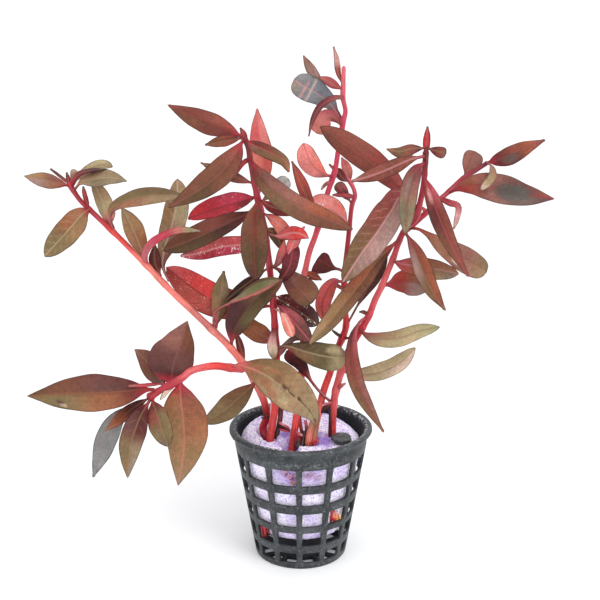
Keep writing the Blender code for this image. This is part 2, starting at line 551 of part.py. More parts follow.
def inner_left_leaves():
    """Leaves of the inner left stem, from its tip down."""
    host = "inner_left_stem"
    leaf("inner_left_leaf_1", host, [(243, 137, -21), (225, 129, -20), (205, 121, -19), (185, 113, -17),
        (167, 104.5, -14)], 12, 11, -2, 2, widest=0.45, colour="leaf_red")
    leaf("inner_left_leaf_2", host, [(243, 140, -21), (233, 158, -28), (216.5, 177, -31),
        (196, 192, -32), (167.5, 208, -32)], 13, 14.5, -2, 1, widest=0.42, colour="leaf_brown")
    leaf("inner_left_leaf_3", host, [(258, 196, -14), (263, 175, -10), (261.5, 155, -8),
        (258.5, 132, -6), (257, 107.5, -4)], 10.5, 11, 1, 1, colour="leaf_pink")
    leaf("inner_left_leaf_4", host, [(246, 141, -21), (258, 147, -27), (273, 154, -30), (284, 161, -31),
        (289, 172.5, -31)], 6.5, 7.5, 1, -1, "oval", 0.4, "leaf_brown")
    leaf("inner_left_leaf_5", host, [(250, 158, -19), (262, 178, -26), (280, 195, -29), (300, 208, -30),
        (322, 217.5, -29), (353, 229.5, -27)], 11.5, 12, 1, -2, "oval", 0.45, "leaf_brown")
    leaf("inner_left_leaf_6", host, [(258, 197, -14), (255, 215, -23), (254.5, 240, -26),
        (254.5, 258, -26), (256, 280, -25)], 13.5, 14, -2, -2, "oval", 0.54)
    leaf("inner_left_leaf_7", host, [(257, 197, -14), (240, 202, -15), (225, 206, -14), (207, 212, -13),
        (187.5, 219, -12)], 8, 12.5, -1, 1, "oval", 0.46, "leaf_red")
    leaf("inner_left_leaf_8", host, [(262, 207, -13), (235, 220, -9), (212, 231, -6), (190, 241, -4),
        (163, 251, -3)], 10.5, 13, -1, 2, "oval", 0.56, "leaf_brown")
    leaf("inner_left_leaf_9", host, [(267, 242, -10.5), (241, 245, -4), (220, 247, -1), (200, 253, 1),
        (180, 256, 2)], 9, 9.5, 0, 1, "oval", 0.42, "leaf_red")
    leaf("inner_left_leaf_10", host, [(272, 266, -9.5), (280, 271, -10.5), (289, 279, -12.5),
        (300, 290, -16), (312.5, 303, -17.5)], 15, 12, 1, -1, "blunt", 0.6)
    leaf("inner_left_leaf_11", host, [(271, 306, -7.5), (240, 306.5, -1), (213, 300.5, 3),
        (190, 286, 6), (166, 267, 8)], 16, 17, -1, 1, "oval", 0.52, "leaf_red")
    leaf("inner_left_leaf_12", host, [(277, 348, -6.5), (287, 346, -14), (302, 350.5, -17),
        (319, 355, -17), (334, 357.5, -16), (346, 358, -14)], 13.5, 13.5, 1, -1, "blunt", 0.6)
    small_leaf(host, [(243, 138, -21), (228, 140, -25), (216, 142.5, -28), (204.5, 145, -30)], 6, 6, -1,
        -1)
    small_leaf(host, [(246, 141, -21), (243, 133, -21), (240, 127.5, -21)], 3, 3, 0, 0, "bud")
    small_leaf(host, [(255, 184, -15.5), (240, 179, -17), (220, 171, -18), (200, 162.5, -18)], 6.5, 6,
        -1, 1)
    small_leaf(host, [(250, 158, -18), (241, 165, -20), (233, 178, -21)], 2.5, 2.5, 0, 0, "strip")
    small_leaf(host, [(259, 204, -14), (274, 191, -10), (289, 179, -8)], 8, 8, 0, 0, "blunt", 0.6)
    small_leaf(host, [(259, 199, -14), (270, 206, -18), (284, 210, -20), (302, 212, -20)], 7, 7, 1, -1)
    small_leaf(host, [(265, 227, -11.5), (277, 237, -14), (281, 249, -15)], 6, 6, 0, 0, "oval")
    small_leaf(host, [(263, 213, -12.5), (273, 219, -14), (282, 228, -15.5), (288, 240, -16)], 7, 7, 0,
        0, "blunt")
    small_leaf(host, [(271, 284, -8.5), (280, 280, -12), (288, 270, -15), (291.5, 258, -16.5),
        (293.5, 243, -17)], 8.5, 8, 1, -1, "blunt", 0.55)
    small_leaf(host, [(272, 296, -8), (284, 302, -11), (300, 312, -12), (319, 325, -12)], 12, 12, 0, 0,
        "oval")
    small_leaf(host, [(273, 304, -7.5), (282, 308, -14), (291, 318, -16), (300, 329, -17),
        (311, 342, -17)], 9, 9.5, 0, 0, "oval", 0.58)
    small_leaf(host, [(273, 308, -7.5), (281, 312, -14), (286, 320, -17.5), (290, 330, -19),
        (292.5, 337, -19.5)], 5, 5.5, 0, 0, "blunt", 0.6)
    small_leaf(host, [(276, 343, -6.5), (262, 335, -2), (250, 328, 0), (238, 320, 1)], 9.5, 10, -1, 1,
        "oval")
    small_leaf(host, [(275, 326, -7), (272.5, 343, -12.5), (274, 360, -14.5)], 5, 5.3, 0, 0, "bud", 0.7)
    small_leaf(host, [(277, 357, -6.5), (287, 344, -10), (296, 338, -13), (306, 341, -14)], 3, 3, 0, 0,
        "strip")
    small_leaf(host, [(268, 268, -9), (253, 279, -6), (238, 290, -5), (223, 303, -5)], 6, 5, 0, 0)


def tall_leaves():
    """Leaves of the tall stem, from its tip down."""
    host = "tall_stem"
    leaf("tall_leaf_1", host, [(343, 124, 10), (337, 113, 11), (329, 102, 10), (316, 92.5, 8),
        (304, 86, 6), (294, 79, 5)], 13, 13, 1, -1, "blunt", 0.62)
    leaf("tall_leaf_2", host, [(334, 177, 8), (323, 173.5, 4.5), (311.5, 163, 3), (303, 143, 2)], 11.5,
        9, 0, 1, "oval", 0.6, "leaf_pink")
    small_leaf(host, [(343.5, 86, 10), (338.5, 74, 11), (336.5, 60, 12), (333.5, 46, 13)], 3, 3.3, 0, 0)
    small_leaf(host, [(343.5, 90, 10), (334, 85, 8), (326, 80, 6), (318, 77, 4)], 4.5, 5, -1, 1)
    small_leaf(host, [(343, 121, 10), (337, 110, 14), (325, 91, 16), (315, 76, 16), (303, 55, 16)], 5.5,
        5, 0, 0, widest=0.72)
    small_leaf(host, [(344, 98, 10), (337, 97.5, 6), (329, 100, 2), (319, 108, -1), (312.5, 121, -3),
        (308.5, 137, -4)], 3, 3.5, 1, -1, "bud")
    small_leaf(host, [(343, 128, 10), (336.5, 120, 8), (330, 116, 6), (323, 121, 5), (317, 134, 5)], 9,
        9.5, 0, 0, "blunt", 0.6)
    small_leaf(host, [(331.5, 182, 8), (326, 184, 6), (321, 190, 5)], 1.8, 1.8, 0, 0, "strip")
    small_leaf(host, [(335, 170, 8), (331, 166, 6), (329, 164, 5)], 1.5, 1.5, 0, 0, "bud")
    small_leaf(host, [(318, 228, 5), (311.5, 209, 2), (305.5, 194, 0), (299.5, 179, -1),
        (291.5, 160.5, -2)], 6, 6.5, 0, 0, widest=0.55)
    small_leaf(host, [(304, 271, 1), (312, 275.5, -1), (322, 280, -2)], 4.5, 4, 0, 0)


def centre_leaves():
    """Leaves of the centre stem, from its tip down."""
    host = "centre_stem"
    leaf("centre_leaf_1", host, [(350, 227, 13), (341, 216, 8), (328, 205.5, 5), (309, 201, 3)], 7,
        10.5, -1, 1, "oval", 0.58, "leaf_pink")
    leaf("centre_leaf_2", host, [(345, 272, 8.5), (338, 269, 4), (329, 265.5, 2), (317.5, 258, 1)], 15,
        9, -1, 1, "blunt", 0.76, "leaf_brown")
    leaf("centre_leaf_3", host, [(344, 282, 7), (334, 282, 1), (325, 295, -3), (322, 309, -4),
        (324, 321, -4)], 8.5, 7.5, 0, 0, "oval", 0.52, "leaf_red")
    small_leaf(host, [(350, 184, 14), (347, 170, 15), (341.5, 157, 16)], 5, 5.5, 0, 0)
    small_leaf(host, [(349, 182, 14), (342, 177, 11), (336.5, 168.5, 10)], 4.5, 4.5, 0, 0, "blunt")
    small_leaf(host, [(352, 204, 14), (344, 192.5, 10), (337, 182.5, 8)], 6, 5.5, 0, 0, "blunt", 0.6)
    small_leaf(host, [(354, 197, 14), (343, 195, 8), (332, 195, 6)], 2.5, 2.5, 0, 0, "strip")
    small_leaf(host, [(346, 327, 1), (354.5, 311, 1), (363, 296, 1), (371.5, 281.5, 1), (380, 267, 1),
        (388, 253, 2)], 6.5, 7, 0, 0, widest=0.7)
    small_leaf(host, [(342, 338, 0), (348, 338, -2), (350, 337, -2)], 1.5, 1.5, 0, 0, "bud")
    small_leaf(host, [(342, 337, 0), (337, 334, -3), (332, 330, -5)], 1.6, 1.6, 0, 0, "strip")


def right_leaves():
    """Leaves of the right stem, from its tip down."""
    host = "right_stem"
    leaf("right_leaf_1", host, [(488, 162.5, 6), (505, 157, 2), (522, 149, -1), (546, 139.5, -4)], 8.5,
        10, 1, -1, widest=0.37, colour="leaf_red")
    leaf("right_leaf_2", host, [(450, 192.5, 1), (462, 187.5, -5), (477, 185, -8), (497, 188.5, -9),
        (522, 194.5, -11), (555, 199, -12)], 15, 14.5, 2, -3, widest=0.48, colour="leaf_brown")
    leaf("right_leaf_3", host, [(404, 230, -5), (408.5, 238, -9), (414.3, 250, -13), (422.5, 270, -16),
        (431.5, 290, -18), (446, 311.5, -19)], 10, 8.5, -1, -1, colour="leaf_brown")
    leaf("right_leaf_4", host, [(407, 228, -4.5), (418, 229, -9), (428, 234.5, -12), (441, 244, -14),
        (456, 254, -15), (471, 263.5, -16), (487, 272, -16)], 12.5, 13, 1, -1, "blunt", 0.64)
    leaf("right_leaf_5", host, [(391, 260, -5), (403, 264.5, -8), (418, 266.5, -9), (438, 270, -10),
        (459, 274, -10)], 10, 10.5, 1, -2, "oval", 0.5, "leaf_brown")
    leaf("right_leaf_6", host, [(380, 286, -5), (392, 284, -4), (405, 281.5, -4), (418, 283, -5),
        (431, 287, -6)], 13, 13.5, 1, -1, "oval", 0.6, "leaf_red")
    leaf("right_leaf_7", host, [(358, 328, -6), (367, 335.5, -10), (382, 339.5, -12), (400, 338, -14),
        (420, 331, -15), (440, 327, -16)], 8.5, 8.5, 2, -3, "oval", 0.5)
    leaf("right_leaf_8", host, [(341, 371, -7), (365, 374.5, -5), (385, 370.5, -4), (401.5, 361.5, -3),
        (415.5, 347.5, -1)], 9.5, 8.5, 2, -2, "oval", 0.53)
    leaf("right_leaf_9", host, [(366, 317, -5), (359, 323, -10), (353, 337, -15), (352, 357, -18),
        (356, 380, -20), (366, 403, -21), (384.5, 433.5, -21)], 8, 8, -1, -1, colour="leaf_brown")
    leaf("right_leaf_10", host, [(399.5, 238.5, -5.5), (391, 247, -9.5), (377, 261.5, -12),
        (361, 283, -15), (346, 301.5, -17), (330, 322, -18), (309, 344.5, -20)], 9, 10.5, -1, 1, "oval",
        0.48)
    leaf("right_leaf_11", host, [(332.5, 403, -6), (323, 395, -12), (313, 383.5, -13),
        (304.5, 371, -13), (297, 360, -12), (286, 351, -11)], 8, 9, 0, 0, "blunt", 0.8, "leaf_red")
    small_leaf(host, [(464, 177, 4), (469, 165, 7), (475, 151, 9)], 9, 11, 0, 0, "blunt", 0.58)
    small_leaf(host, [(486, 162, 6), (491.5, 167, -7), (491.5, 177, -14.5), (480.5, 190, -17.5)], 4.5,
        4, 0, 0, "oval", 0.65)
    small_leaf(host, [(440, 198.5, 0), (450, 203, -3), (458, 206, -5), (457.5, 216, -6),
        (453.5, 229.5, -7)], 3.2, 3.2, 0, 0, "strip")
    small_leaf(host, [(426, 212.5, -2), (422.5, 207, -4)], 2, 2, 0, 0, "bud")
    small_leaf(host, [(368, 314, -5), (363, 312, -7), (359, 312, -8)], 2, 2, 0, 0, "bud")
    small_leaf(host, [(335, 390, -6.5), (341, 386, -9), (346, 383, -10)], 2.2, 2.2, 0, 0, "bud")


def right_inner_leaves():
    """Leaves of the right inner branch, from its tip down."""
    host = "right_inner_branch"
    leaf("right_inner_leaf_1", host, [(425, 156, -19), (412, 159, -26), (402, 163, -28),
        (389, 169, -29.5), (371, 176, -30.5), (351, 181.5, -30)], 8, 8.5, -1, 1, widest=0.52,
        colour="leaf_brown")
    leaf("right_inner_leaf_2", host, [(417, 208, -13.5), (401, 189.5, -12), (382, 171, -11),
        (354, 149.5, -9), (320, 126.5, -6)], 12.5, 13.5, 0, 1, "oval", 0.56, "leaf_brown")
    leaf("right_inner_leaf_3", host, [(424.5, 162, -18.5), (417, 169.5, -26), (410.5, 184, -27.5),
        (407.5, 201, -28), (406.5, 217, -27), (405, 234, -25)], 9, 9, -1, -1, "oval", 0.45)
    leaf("right_inner_leaf_4", host, [(423, 174, -17.5), (431, 195, -23), (439, 217, -25),
        (449, 240, -26), (459, 260, -25), (469, 278, -24)], 9, 9.5, -1, -1, widest=0.42,
        colour="leaf_brown")
    leaf("right_inner_leaf_5", host, [(416, 213, -13), (403, 196, -17), (391, 211, -20),
        (378, 231, -22), (361, 254, -23), (342, 283, -23)], 16, 16, -1, -1, "oval", 0.46, "leaf_brown")
    small_leaf(host, [(426, 152, -20), (427, 137, -20), (427.5, 126, -20)], 3.8, 3.6, 0, 0, "bud")
    small_leaf(host, [(426, 148, -20), (412, 148.5, -21.5), (400, 151.5, -22), (386, 149, -22)], 7.5, 5,
        -1, 1)
    small_leaf(host, [(426, 148, -20), (436, 150.5, -24), (446.5, 153, -27)], 5, 6.5, 0, 0, "blunt",
        0.6)

round_pieces = [net_pot(), foam_roll(), stone_chip()]
all_stems()
left_leaves()
low_left_leaves()
inner_left_leaves()
tall_leaves()
centre_leaves()
right_leaves()
right_inner_leaves()
for made in bpy.data.objects:
    face_outwards(made)
round_pieces += [made for made, _ in STEMS.values()]
for made in round_pieces:
    made.data.shade_smooth()
    made.data.set_sharp_from_angle(angle=SMOOTH_ANGLE)
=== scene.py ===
import math

import bmesh
import bpy
import numpy as np
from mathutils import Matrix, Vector, noise


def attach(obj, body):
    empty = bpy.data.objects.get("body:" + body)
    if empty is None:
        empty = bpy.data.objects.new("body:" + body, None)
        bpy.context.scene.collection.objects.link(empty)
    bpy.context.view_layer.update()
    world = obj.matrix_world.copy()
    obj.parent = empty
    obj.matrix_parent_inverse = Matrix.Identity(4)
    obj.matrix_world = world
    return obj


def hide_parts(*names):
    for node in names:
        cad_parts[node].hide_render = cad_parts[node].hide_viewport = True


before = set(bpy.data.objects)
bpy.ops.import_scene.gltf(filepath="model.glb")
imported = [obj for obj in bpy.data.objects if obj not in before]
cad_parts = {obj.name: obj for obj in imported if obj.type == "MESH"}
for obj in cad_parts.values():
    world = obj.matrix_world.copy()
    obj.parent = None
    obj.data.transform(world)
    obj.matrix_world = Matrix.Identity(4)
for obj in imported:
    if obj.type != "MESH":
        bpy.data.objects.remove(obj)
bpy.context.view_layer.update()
mm = 0.001

# the upright sheet that the plant's points are read on: across and down on it, then depth in mm
sheet = {"away": 342.0, "height": 184.0, "tilt": math.radians(14.46), "scale": 1002.0, "axis": 300.8,
         "middle": 300.0}

# named tones of leaves and stems, as they look in daylight (0 to 255)
toneNames = {
    "maroon": (74, 24, 31), "darkRed": (112, 40, 42), "darkRose": (122, 47, 58), "crimson": (170, 48, 64),
    "crimsonRed": (184, 40, 54), "rust": (158, 92, 66), "brick": (146, 66, 58), "brickRed": (176, 68, 58),
    "salmonRed": (188, 90, 82), "coral": (218, 102, 106), "salmon": (216, 130, 126), "pink": (206, 100, 116),
    "rose": (166, 84, 92), "palePink": (228, 176, 178), "cream": (226, 212, 192), "redBrown": (140, 78, 66),
    "brown": (119, 75, 56), "darkBrown": (84, 50, 42), "blackBrown": (58, 34, 31), "wine": (92, 42, 40),
    "purpleDark": (80, 46, 48), "purpleBrown": (106, 66, 62), "mauve": (146, 100, 91),
    "greyMauve": (168, 140, 134), "oliveBrown": (120, 92, 64), "darkOlive": (92, 71, 47),
    "olive": (118, 100, 70), "greenOlive": (98, 90, 58), "ochre": (154, 123, 86), "tan": (164, 120, 92),
    "khaki": (160, 139, 106), "paleKhaki": (186, 178, 140), "greyOlive": (146, 134, 108),
    "greyBrown": (108, 94, 88), "greyGreen": (124, 118, 96), "silver": (146, 154, 156),
    "silverGreen": (140, 140, 136), "silverTan": (158, 148, 138), "flame": (222, 74, 72),
    "orange": (238, 138, 126), "amber": (232, 176, 96), "moss": (128, 114, 80), "leafGreen": (104, 116, 70),
    "paleGreen": (166, 176, 134), "copper": (154, 102, 70), "chestnut": (121, 63, 52),
    "cherry": (198, 64, 92), "blackRed": (50, 14, 22), "pinkLight": (250, 160, 156), "slate": (88, 88, 84),
    "silverLight": (190, 190, 194), "blueGrey": (134, 152, 164),
}
toneDepth = np.array((0.85, 0.73, 0.705))       # what the soft light adds back


def toneOf(name):
    linear = [c / 255 / 12.92 if c <= 10 else ((c / 255 + 0.055) / 1.055) ** 2.4 for c in toneNames[name]]
    return np.array(linear) * toneDepth


# shader words
class Wire:
    # one socket of a node tree, with the operators that maths on values needs
    def __init__(self, tree, socket):
        self.tree, self.socket = tree, socket

    def node(self, kind, settings=None, inputs=None, out=0):
        made = self.tree.nodes.new(kind)
        for key, value in (settings or {}).items():
            setattr(made, key, value)
        plugAll(self.tree, made, inputs or {})
        return Wire(self.tree, made.outputs[out])

    def maths(self, operation, *values, clamp=False):
        settings = {"operation": operation, "use_clamp": clamp}
        return self.node("ShaderNodeMath", settings, dict(enumerate(values)))

    def __add__(self, other):
        return self.maths("ADD", self, other)

    def __radd__(self, other):
        return self.maths("ADD", other, self)

    def __sub__(self, other):
        return self.maths("SUBTRACT", self, other)

    def __rsub__(self, other):
        return self.maths("SUBTRACT", other, self)

    def __mul__(self, other):
        return self.maths("MULTIPLY", self, other)

    def __rmul__(self, other):
        return self.maths("MULTIPLY", other, self)

    def clamped(self):
        return self.maths("ADD", self, 0.0, clamp=True)

    def absolute(self):
        return self.maths("ABSOLUTE", self)

    def fraction(self):
        return self.maths("FRACT", self)

    def smooth(self, low, high):
        # 0 below low, 1 above high
        settings = {"interpolation_type": "SMOOTHSTEP"}
        return self.node("ShaderNodeMapRange", settings, {"Value": self, "From Min": low, "From Max": high})

    def mixed(self, other, share, way="MIX"):
        # this colour turned into other by share
        settings = {"data_type": "RGBA", "blend_type": way}
        return self.node("ShaderNodeMix", settings, {0: share, 6: self, 7: other}, out=2)

    def tinted(self, other, share=1.0):
        return self.mixed(other, share, "MULTIPLY")

    def between(self, low, high):
        # the colour that lies this far from low to high
        return self.node("ShaderNodeMix", {"data_type": "RGBA"}, {0: self, 6: low, 7: high}, out=2)

    def scaled(self, factor):
        # a colour or vector times a number
        return self.node("ShaderNodeVectorMath", {"operation": "SCALE"}, {"Vector": self, "Scale": factor})

    def parts(self):
        made = self.tree.nodes.new("ShaderNodeSeparateXYZ")
        plug(self.tree, made.inputs[0], self)
        return [Wire(self.tree, made.outputs[i]) for i in range(3)]

    def grain(self, scale, detail=3.0, roughness=0.5, distortion=0.0):
        # soft noise at this vector, around 0.5
        inputs = {"Vector": self, "Scale": scale, "Detail": detail, "Roughness": roughness,
                  "Distortion": distortion}
        return self.node("ShaderNodeTexNoise", None, inputs)

    def cells(self, scale, feature="F1"):
        return self.node("ShaderNodeTexVoronoi", {"feature": feature}, {"Vector": self, "Scale": scale})


def plug(tree, socket, value):
    # a wire is linked, a colour gets its alpha, a number goes in as it is
    if isinstance(value, Wire):
        tree.links.new(value.socket, socket)
    else:
        socket.default_value = (*value, 1.0) if isinstance(value, tuple) else value


def plugAll(tree, node, inputs):
    for key, value in inputs.items():
        plug(tree, node.inputs[key], value)


def newMaterial(name, fixed):
    # a Principled material, its fixed values, and a wire to grow its nodes from
    made = bpy.data.materials.new(name)
    made.use_nodes = True
    shader = made.node_tree.nodes["Principled BSDF"]
    plugAll(made.node_tree, shader, fixed)
    return made, shader, Wire(made.node_tree, shader.outputs[0])


def attribute(start, name, out="Vector"):
    return start.node("ShaderNodeAttribute", {"attribute_name": name}, out=out)


def place(start):
    return start.node("ShaderNodeTexCoord", out="Object")


def bumped(start, height, finish):
    inputs = {"Height": height, "Distance": finish["relief"], "Strength": finish["bump"]}
    return start.node("ShaderNodeBump", None, inputs)


# finishes: a scale counts waves or cells in a metre, and relief is in metres
leafFinish = {
    "specular": 0.22, "roughness": 0.45, "relief": 0.00034, "bump": 0.8,
    "veinWidth": 0.15, "veinWobble": 0.7, "wobbleScale": 420.0, "veinBreaks": 300.0, "veinStrength": 0.55,
    "ribWidth": 0.32, "ribStrength": 0.7, "ribLeast": 0.22,
    "edgeWidth": 0.5, "edgeDark": 0.72, "edgeBreaks": 260.0,
    "broadScale": 170.0, "mottle": 0.95, "smallScale": 1100.0, "grain": 1.15, "finestScale": 2700.0,
    "finest": 0.4, "cellScale": 1500.0, "cellShade": 0.12,
    "warm": (1.0, 0.74, 0.7), "warmScale": 260.0, "warmShare": 0.4,
    "cool": (0.8, 1.0, 0.78), "coolScale": 330.0, "coolShare": 0.5,
    # dot and the paintedGlint values: pale dots painted on as glints, standing in for highlights
    "dot": (0.92, 0.86, 0.82), "paintedGlintScale": 1500.0, "paintedGlintPatches": 380.0, "paintedGlintStrength": 1.3,
}


def leafMaterial(name):
    f = leafFinish
    made, shader, start = newMaterial(name, {"Specular IOR Level": f["specular"]})
    at = place(start)
    tone, paintedGlints = (attribute(start, "tone", out) for out in ("Color", "Alpha"))
    veinTone, veinShare = (attribute(start, "veinTone", out) for out in ("Color", "Alpha"))
    phase, rib, edge = attribute(start, "leafSpace").parts()

    wobble = (at.grain(f["wobbleScale"], 2.0) - 0.5) * f["veinWobble"]
    offVein = ((phase + wobble).fraction() - 0.5).absolute()
    sideVein = (1 - offVein.smooth(0.0, f["veinWidth"])) * edge.smooth(0.1, 1.6)
    midRib = 1 - rib.smooth(f["ribWidth"] * 0.45, f["ribWidth"] * 1.5)
    cells = at.cells(f["cellScale"], "DISTANCE_TO_EDGE").smooth(0.0, 0.12)
    veins = sideVein * veinShare * at.grain(f["veinBreaks"], 2.0).smooth(0.3, 0.6) * f["veinStrength"]
    ribs = midRib * (veinShare * f["ribStrength"] + f["ribLeast"])
    veins = veins.maths("MAXIMUM", veins, ribs, clamp=True)

    broad = at.grain(f["broadScale"], 3.0, 0.55)
    small = at.grain(f["smallScale"], 4.0, 0.7)
    finest = at.grain(f["finestScale"], 2.0, 0.6)
    shade = 1 + (broad - 0.5) * f["mottle"] + (small - 0.5) * f["grain"]
    colour = tone.scaled(shade + (finest - 0.5) * f["finest"] + (cells - 0.7) * f["cellShade"])
    warm = at.grain(f["warmScale"], 2.0, 0.5, 0.4).smooth(0.52, 0.72)
    colour = colour.mixed(tone.tinted(f["warm"]), warm * f["warmShare"])
    cool = at.grain(f["coolScale"], 3.0, 0.6, 0.6).smooth(0.5, 0.68)
    colour = colour.mixed(tone.tinted(f["cool"]), cool * f["coolShare"])
    colour = colour.scaled(1 - offVein.smooth(0.3, 0.5) * 0.1 * veinShare)
    colour = colour.mixed(veinTone, veins)
    rim = (1 - edge.smooth(0.04, f["edgeWidth"])) * f["edgeDark"]
    colour = colour.scaled(1 - rim * (0.3 + at.grain(f["edgeBreaks"], 2.0).smooth(0.36, 0.62) * 0.7))
    # painted glints: pale dots in patches, as many as the tone's alpha allows, standing in for highlights
    dots = at.grain(f["paintedGlintScale"], 2.0).smooth(0.6, 0.66) * at.grain(f["paintedGlintPatches"], 2.0).smooth(0.48, 0.6)
    dots = dots * paintedGlints * f["paintedGlintStrength"]
    height = small * 0.35 + cells * 0.2 - sideVein * 0.5 * veinShare - midRib * 0.3 + broad * 0.8
    plugAll(start.tree, shader, {
        "Base Color": colour.mixed(f["dot"], dots.clamped()),
        "Roughness": (f["roughness"] + (broad - 0.5) * 0.3 + (1 - cells) * 0.08 - dots * 0.2).clamped(),
        "Normal": bumped(start, height, f)})
    return made


stemFinish = {
    "specular": 0.35, "roughness": 0.3, "relief": 0.00012, "bump": 0.7, "stretch": 0.09,
    "streakScale": 2.6, "thinScale": 9.0, "streaks": 1.04, "thin": 0.5, "blotchScale": 210.0, "blotch": 0.5,
    # pale: how much brighter the painted highlight streaks are than the tone
    "flush": (1.0, 0.62, 0.7), "pale": 1.9,
}


def stemMaterial(name):
    f = stemFinish
    made, shader, start = newMaterial(name, {"Specular IOR Level": f["specular"]})
    tone = attribute(start, "tone", "Color")
    along, aroundX, aroundY = attribute(start, "stemSpace").parts()
    lane = start.node("ShaderNodeCombineXYZ", None, {"X": along * f["stretch"], "Y": aroundX, "Z": aroundY})
    streak = lane.grain(f["streakScale"], 4.0, 0.6)
    thin = lane.grain(f["thinScale"], 2.0, 0.5)
    blotch = place(start).grain(f["blotchScale"], 3.0, 0.6)
    shade = 1 + (streak - 0.5) * f["streaks"] + (thin - 0.5) * f["thin"] + (blotch - 0.5) * f["blotch"]
    colour = tone.scaled(shade)
    colour = colour.mixed(tone.tinted(f["flush"]), blotch.smooth(0.5, 0.7) * 0.5)
    # painted highlights: paler streaks along the stem
    colour = colour.mixed(tone.scaled(f["pale"]), thin.smooth(0.53, 0.66) * streak.smooth(0.38, 0.56) * 0.55)
    plugAll(start.tree, shader, {
        "Base Color": colour, "Roughness": (f["roughness"] + (streak - 0.5) * 0.3).clamped(),
        "Normal": bumped(start, streak + thin * 0.5, f)})
    return made


potFinish = {
    "plastic": (0.019, 0.022, 0.025), "worn": (0.08, 0.088, 0.094), "glint": (0.7, 0.72, 0.73),
    "shade": (0.3, 0.3, 0.32), "specular": 0.32, "roughness": 0.5, "relief": 0.00018, "bump": 0.6,
    "cloudScale": 90.0, "scuffScale": 700.0, "fineScale": 2600.0, "pitScale": 900.0, "pitShade": 0.35,
    "scratchScale": 1500.0, "glintScale": 800.0,
}


def potMaterial(name):
    f = potFinish
    made, shader, start = newMaterial(name, {"Specular IOR Level": f["specular"]})
    at = place(start)
    inside, lip, mark = attribute(start, "potSpace").parts()
    cloud = at.grain(f["cloudScale"], 4.0, 0.6)
    scuff = at.grain(f["scuffScale"], 3.0, 0.65)
    fine = at.grain(f["fineScale"], 2.0, 0.6)
    pits = at.cells(f["pitScale"]).smooth(0.05, 0.25)
    worn = (cloud.smooth(0.38, 0.68) * 0.6 + scuff.smooth(0.46, 0.66) * 0.5).clamped()
    colour = worn.between(f["plastic"], f["worn"])
    colour = colour.scaled((1 - (1 - pits) * f["pitShade"]) * (0.8 + fine * 0.4))
    scratches = at.grain(f["scratchScale"], 2.0, 0.5).smooth(0.6, 0.7) * 0.16
    glints = at.grain(f["glintScale"], 3.0, 0.6).smooth(0.5, 0.57) * lip
    colour = colour.mixed(f["glint"], (scratches + glints).clamped())
    # painted shade: the inner side of the wall and rim and the floor's middle are tinted darker
    colour = colour.tinted(f["shade"], inside).scaled(1 - mark * scuff.smooth(0.3, 0.55) * 0.85)
    rough = f["roughness"] + (scuff - 0.5) * 0.35 + (cloud - 0.5) * 0.2 + inside * 0.2
    plugAll(start.tree, shader, {
        "Base Color": colour, "Roughness": rough.clamped(),
        "Normal": bumped(start, scuff * 0.6 + cloud + fine * 0.2, f)})
    return made


foamFinish = {
    # deep: the violet of the real flecks and of the painted shade
    "light": (0.66, 0.49, 0.93), "pale": (0.95, 0.92, 1.0), "deep": (0.26, 0.12, 0.56),
    "stain": (0.16, 0.05, 0.12), "rust": (0.42, 0.17, 0.13), "glow": 0.13,
    "specular": 0.2, "roughness": 0.85, "relief": 0.0004, "bump": 0.6,
    "poreScale": 1900.0, "beadScale": 1100.0, "grainScale": 1500.0, "cloudScale": 130.0,
    "fleckScale": 1150.0, "flecks": 0.6, "soilScale": 900.0,
}


def foamMaterial(name):
    f = foamFinish
    # the foam glows faintly in its own colour (glow): painted light that brightens it
    made, shader, start = newMaterial(name, {
        "Specular IOR Level": f["specular"], "Roughness": f["roughness"], "Emission Strength": f["glow"]})
    at = place(start)
    pores = at.cells(f["poreScale"])
    beads = at.cells(f["beadScale"])
    grains = at.grain(f["grainScale"], 2.0, 0.7)
    cloud = at.grain(f["cloudScale"], 3.0, 0.6)
    deep, stain, paleLowerLeft = attribute(start, "foamSpace").parts()
    flecks = at.grain(f["fleckScale"], 2.0, 0.75).smooth(0.53, 0.585)
    pale = (pores.smooth(0.15, 0.6) * 0.6 + grains.smooth(0.4, 0.56) * 0.7).clamped()
    colour = pale.between(f["light"], f["pale"])
    dots = ((1 - beads.smooth(0.0, 0.3)) * 0.7 + (cloud - 0.44).clamped() * 1.4).clamped() * 0.62
    # paler, with fewer dots, towards the bottom and on the left
    colour = colour.mixed(f["deep"], (dots * (1 - paleLowerLeft * 0.5) + flecks * f["flecks"]).clamped())
    colour = colour.mixed(f["pale"], paleLowerLeft * 0.3)
    # painted shade: violet in the top's hollows and in the shade spots on the side and the top
    colour = colour.mixed(f["deep"], (deep * (0.6 + grains * 0.6)).clamped() * 0.85)
    soil = at.grain(f["soilScale"], 2.0).smooth(0.53, 0.6).between(f["stain"], f["rust"])
    colour = colour.mixed(soil, (stain * (0.45 + grains.smooth(0.36, 0.56) * 0.6)).clamped())
    plugAll(start.tree, shader, {
        "Base Color": colour, "Emission Color": colour,
        "Normal": bumped(start, pores + beads * 0.8 + grains * 0.5, f)})
    return made


stoneFinish = {
    "dark": (0.028, 0.028, 0.032), "light": (0.14, 0.14, 0.145), "specular": 0.4, "roughness": 0.5,
    "relief": 0.0005, "bump": 0.9, "cloudScale": 500.0, "gritScale": 1600.0,
}


def stoneMaterial(name):
    f = stoneFinish
    made, shader, start = newMaterial(name, {"Specular IOR Level": f["specular"]})
    at = place(start)
    cloud = at.grain(f["cloudScale"], 5.0, 0.65)
    grit = at.cells(f["gritScale"])
    plugAll(start.tree, shader, {
        "Base Color": cloud.smooth(0.35, 0.7).between(f["dark"], f["light"]).scaled(0.8 + grit * 0.5),
        "Roughness": (f["roughness"] + (cloud - 0.5) * 0.5).clamped(),
        "Normal": bumped(start, cloud + grit * 0.6, f)})
    return made


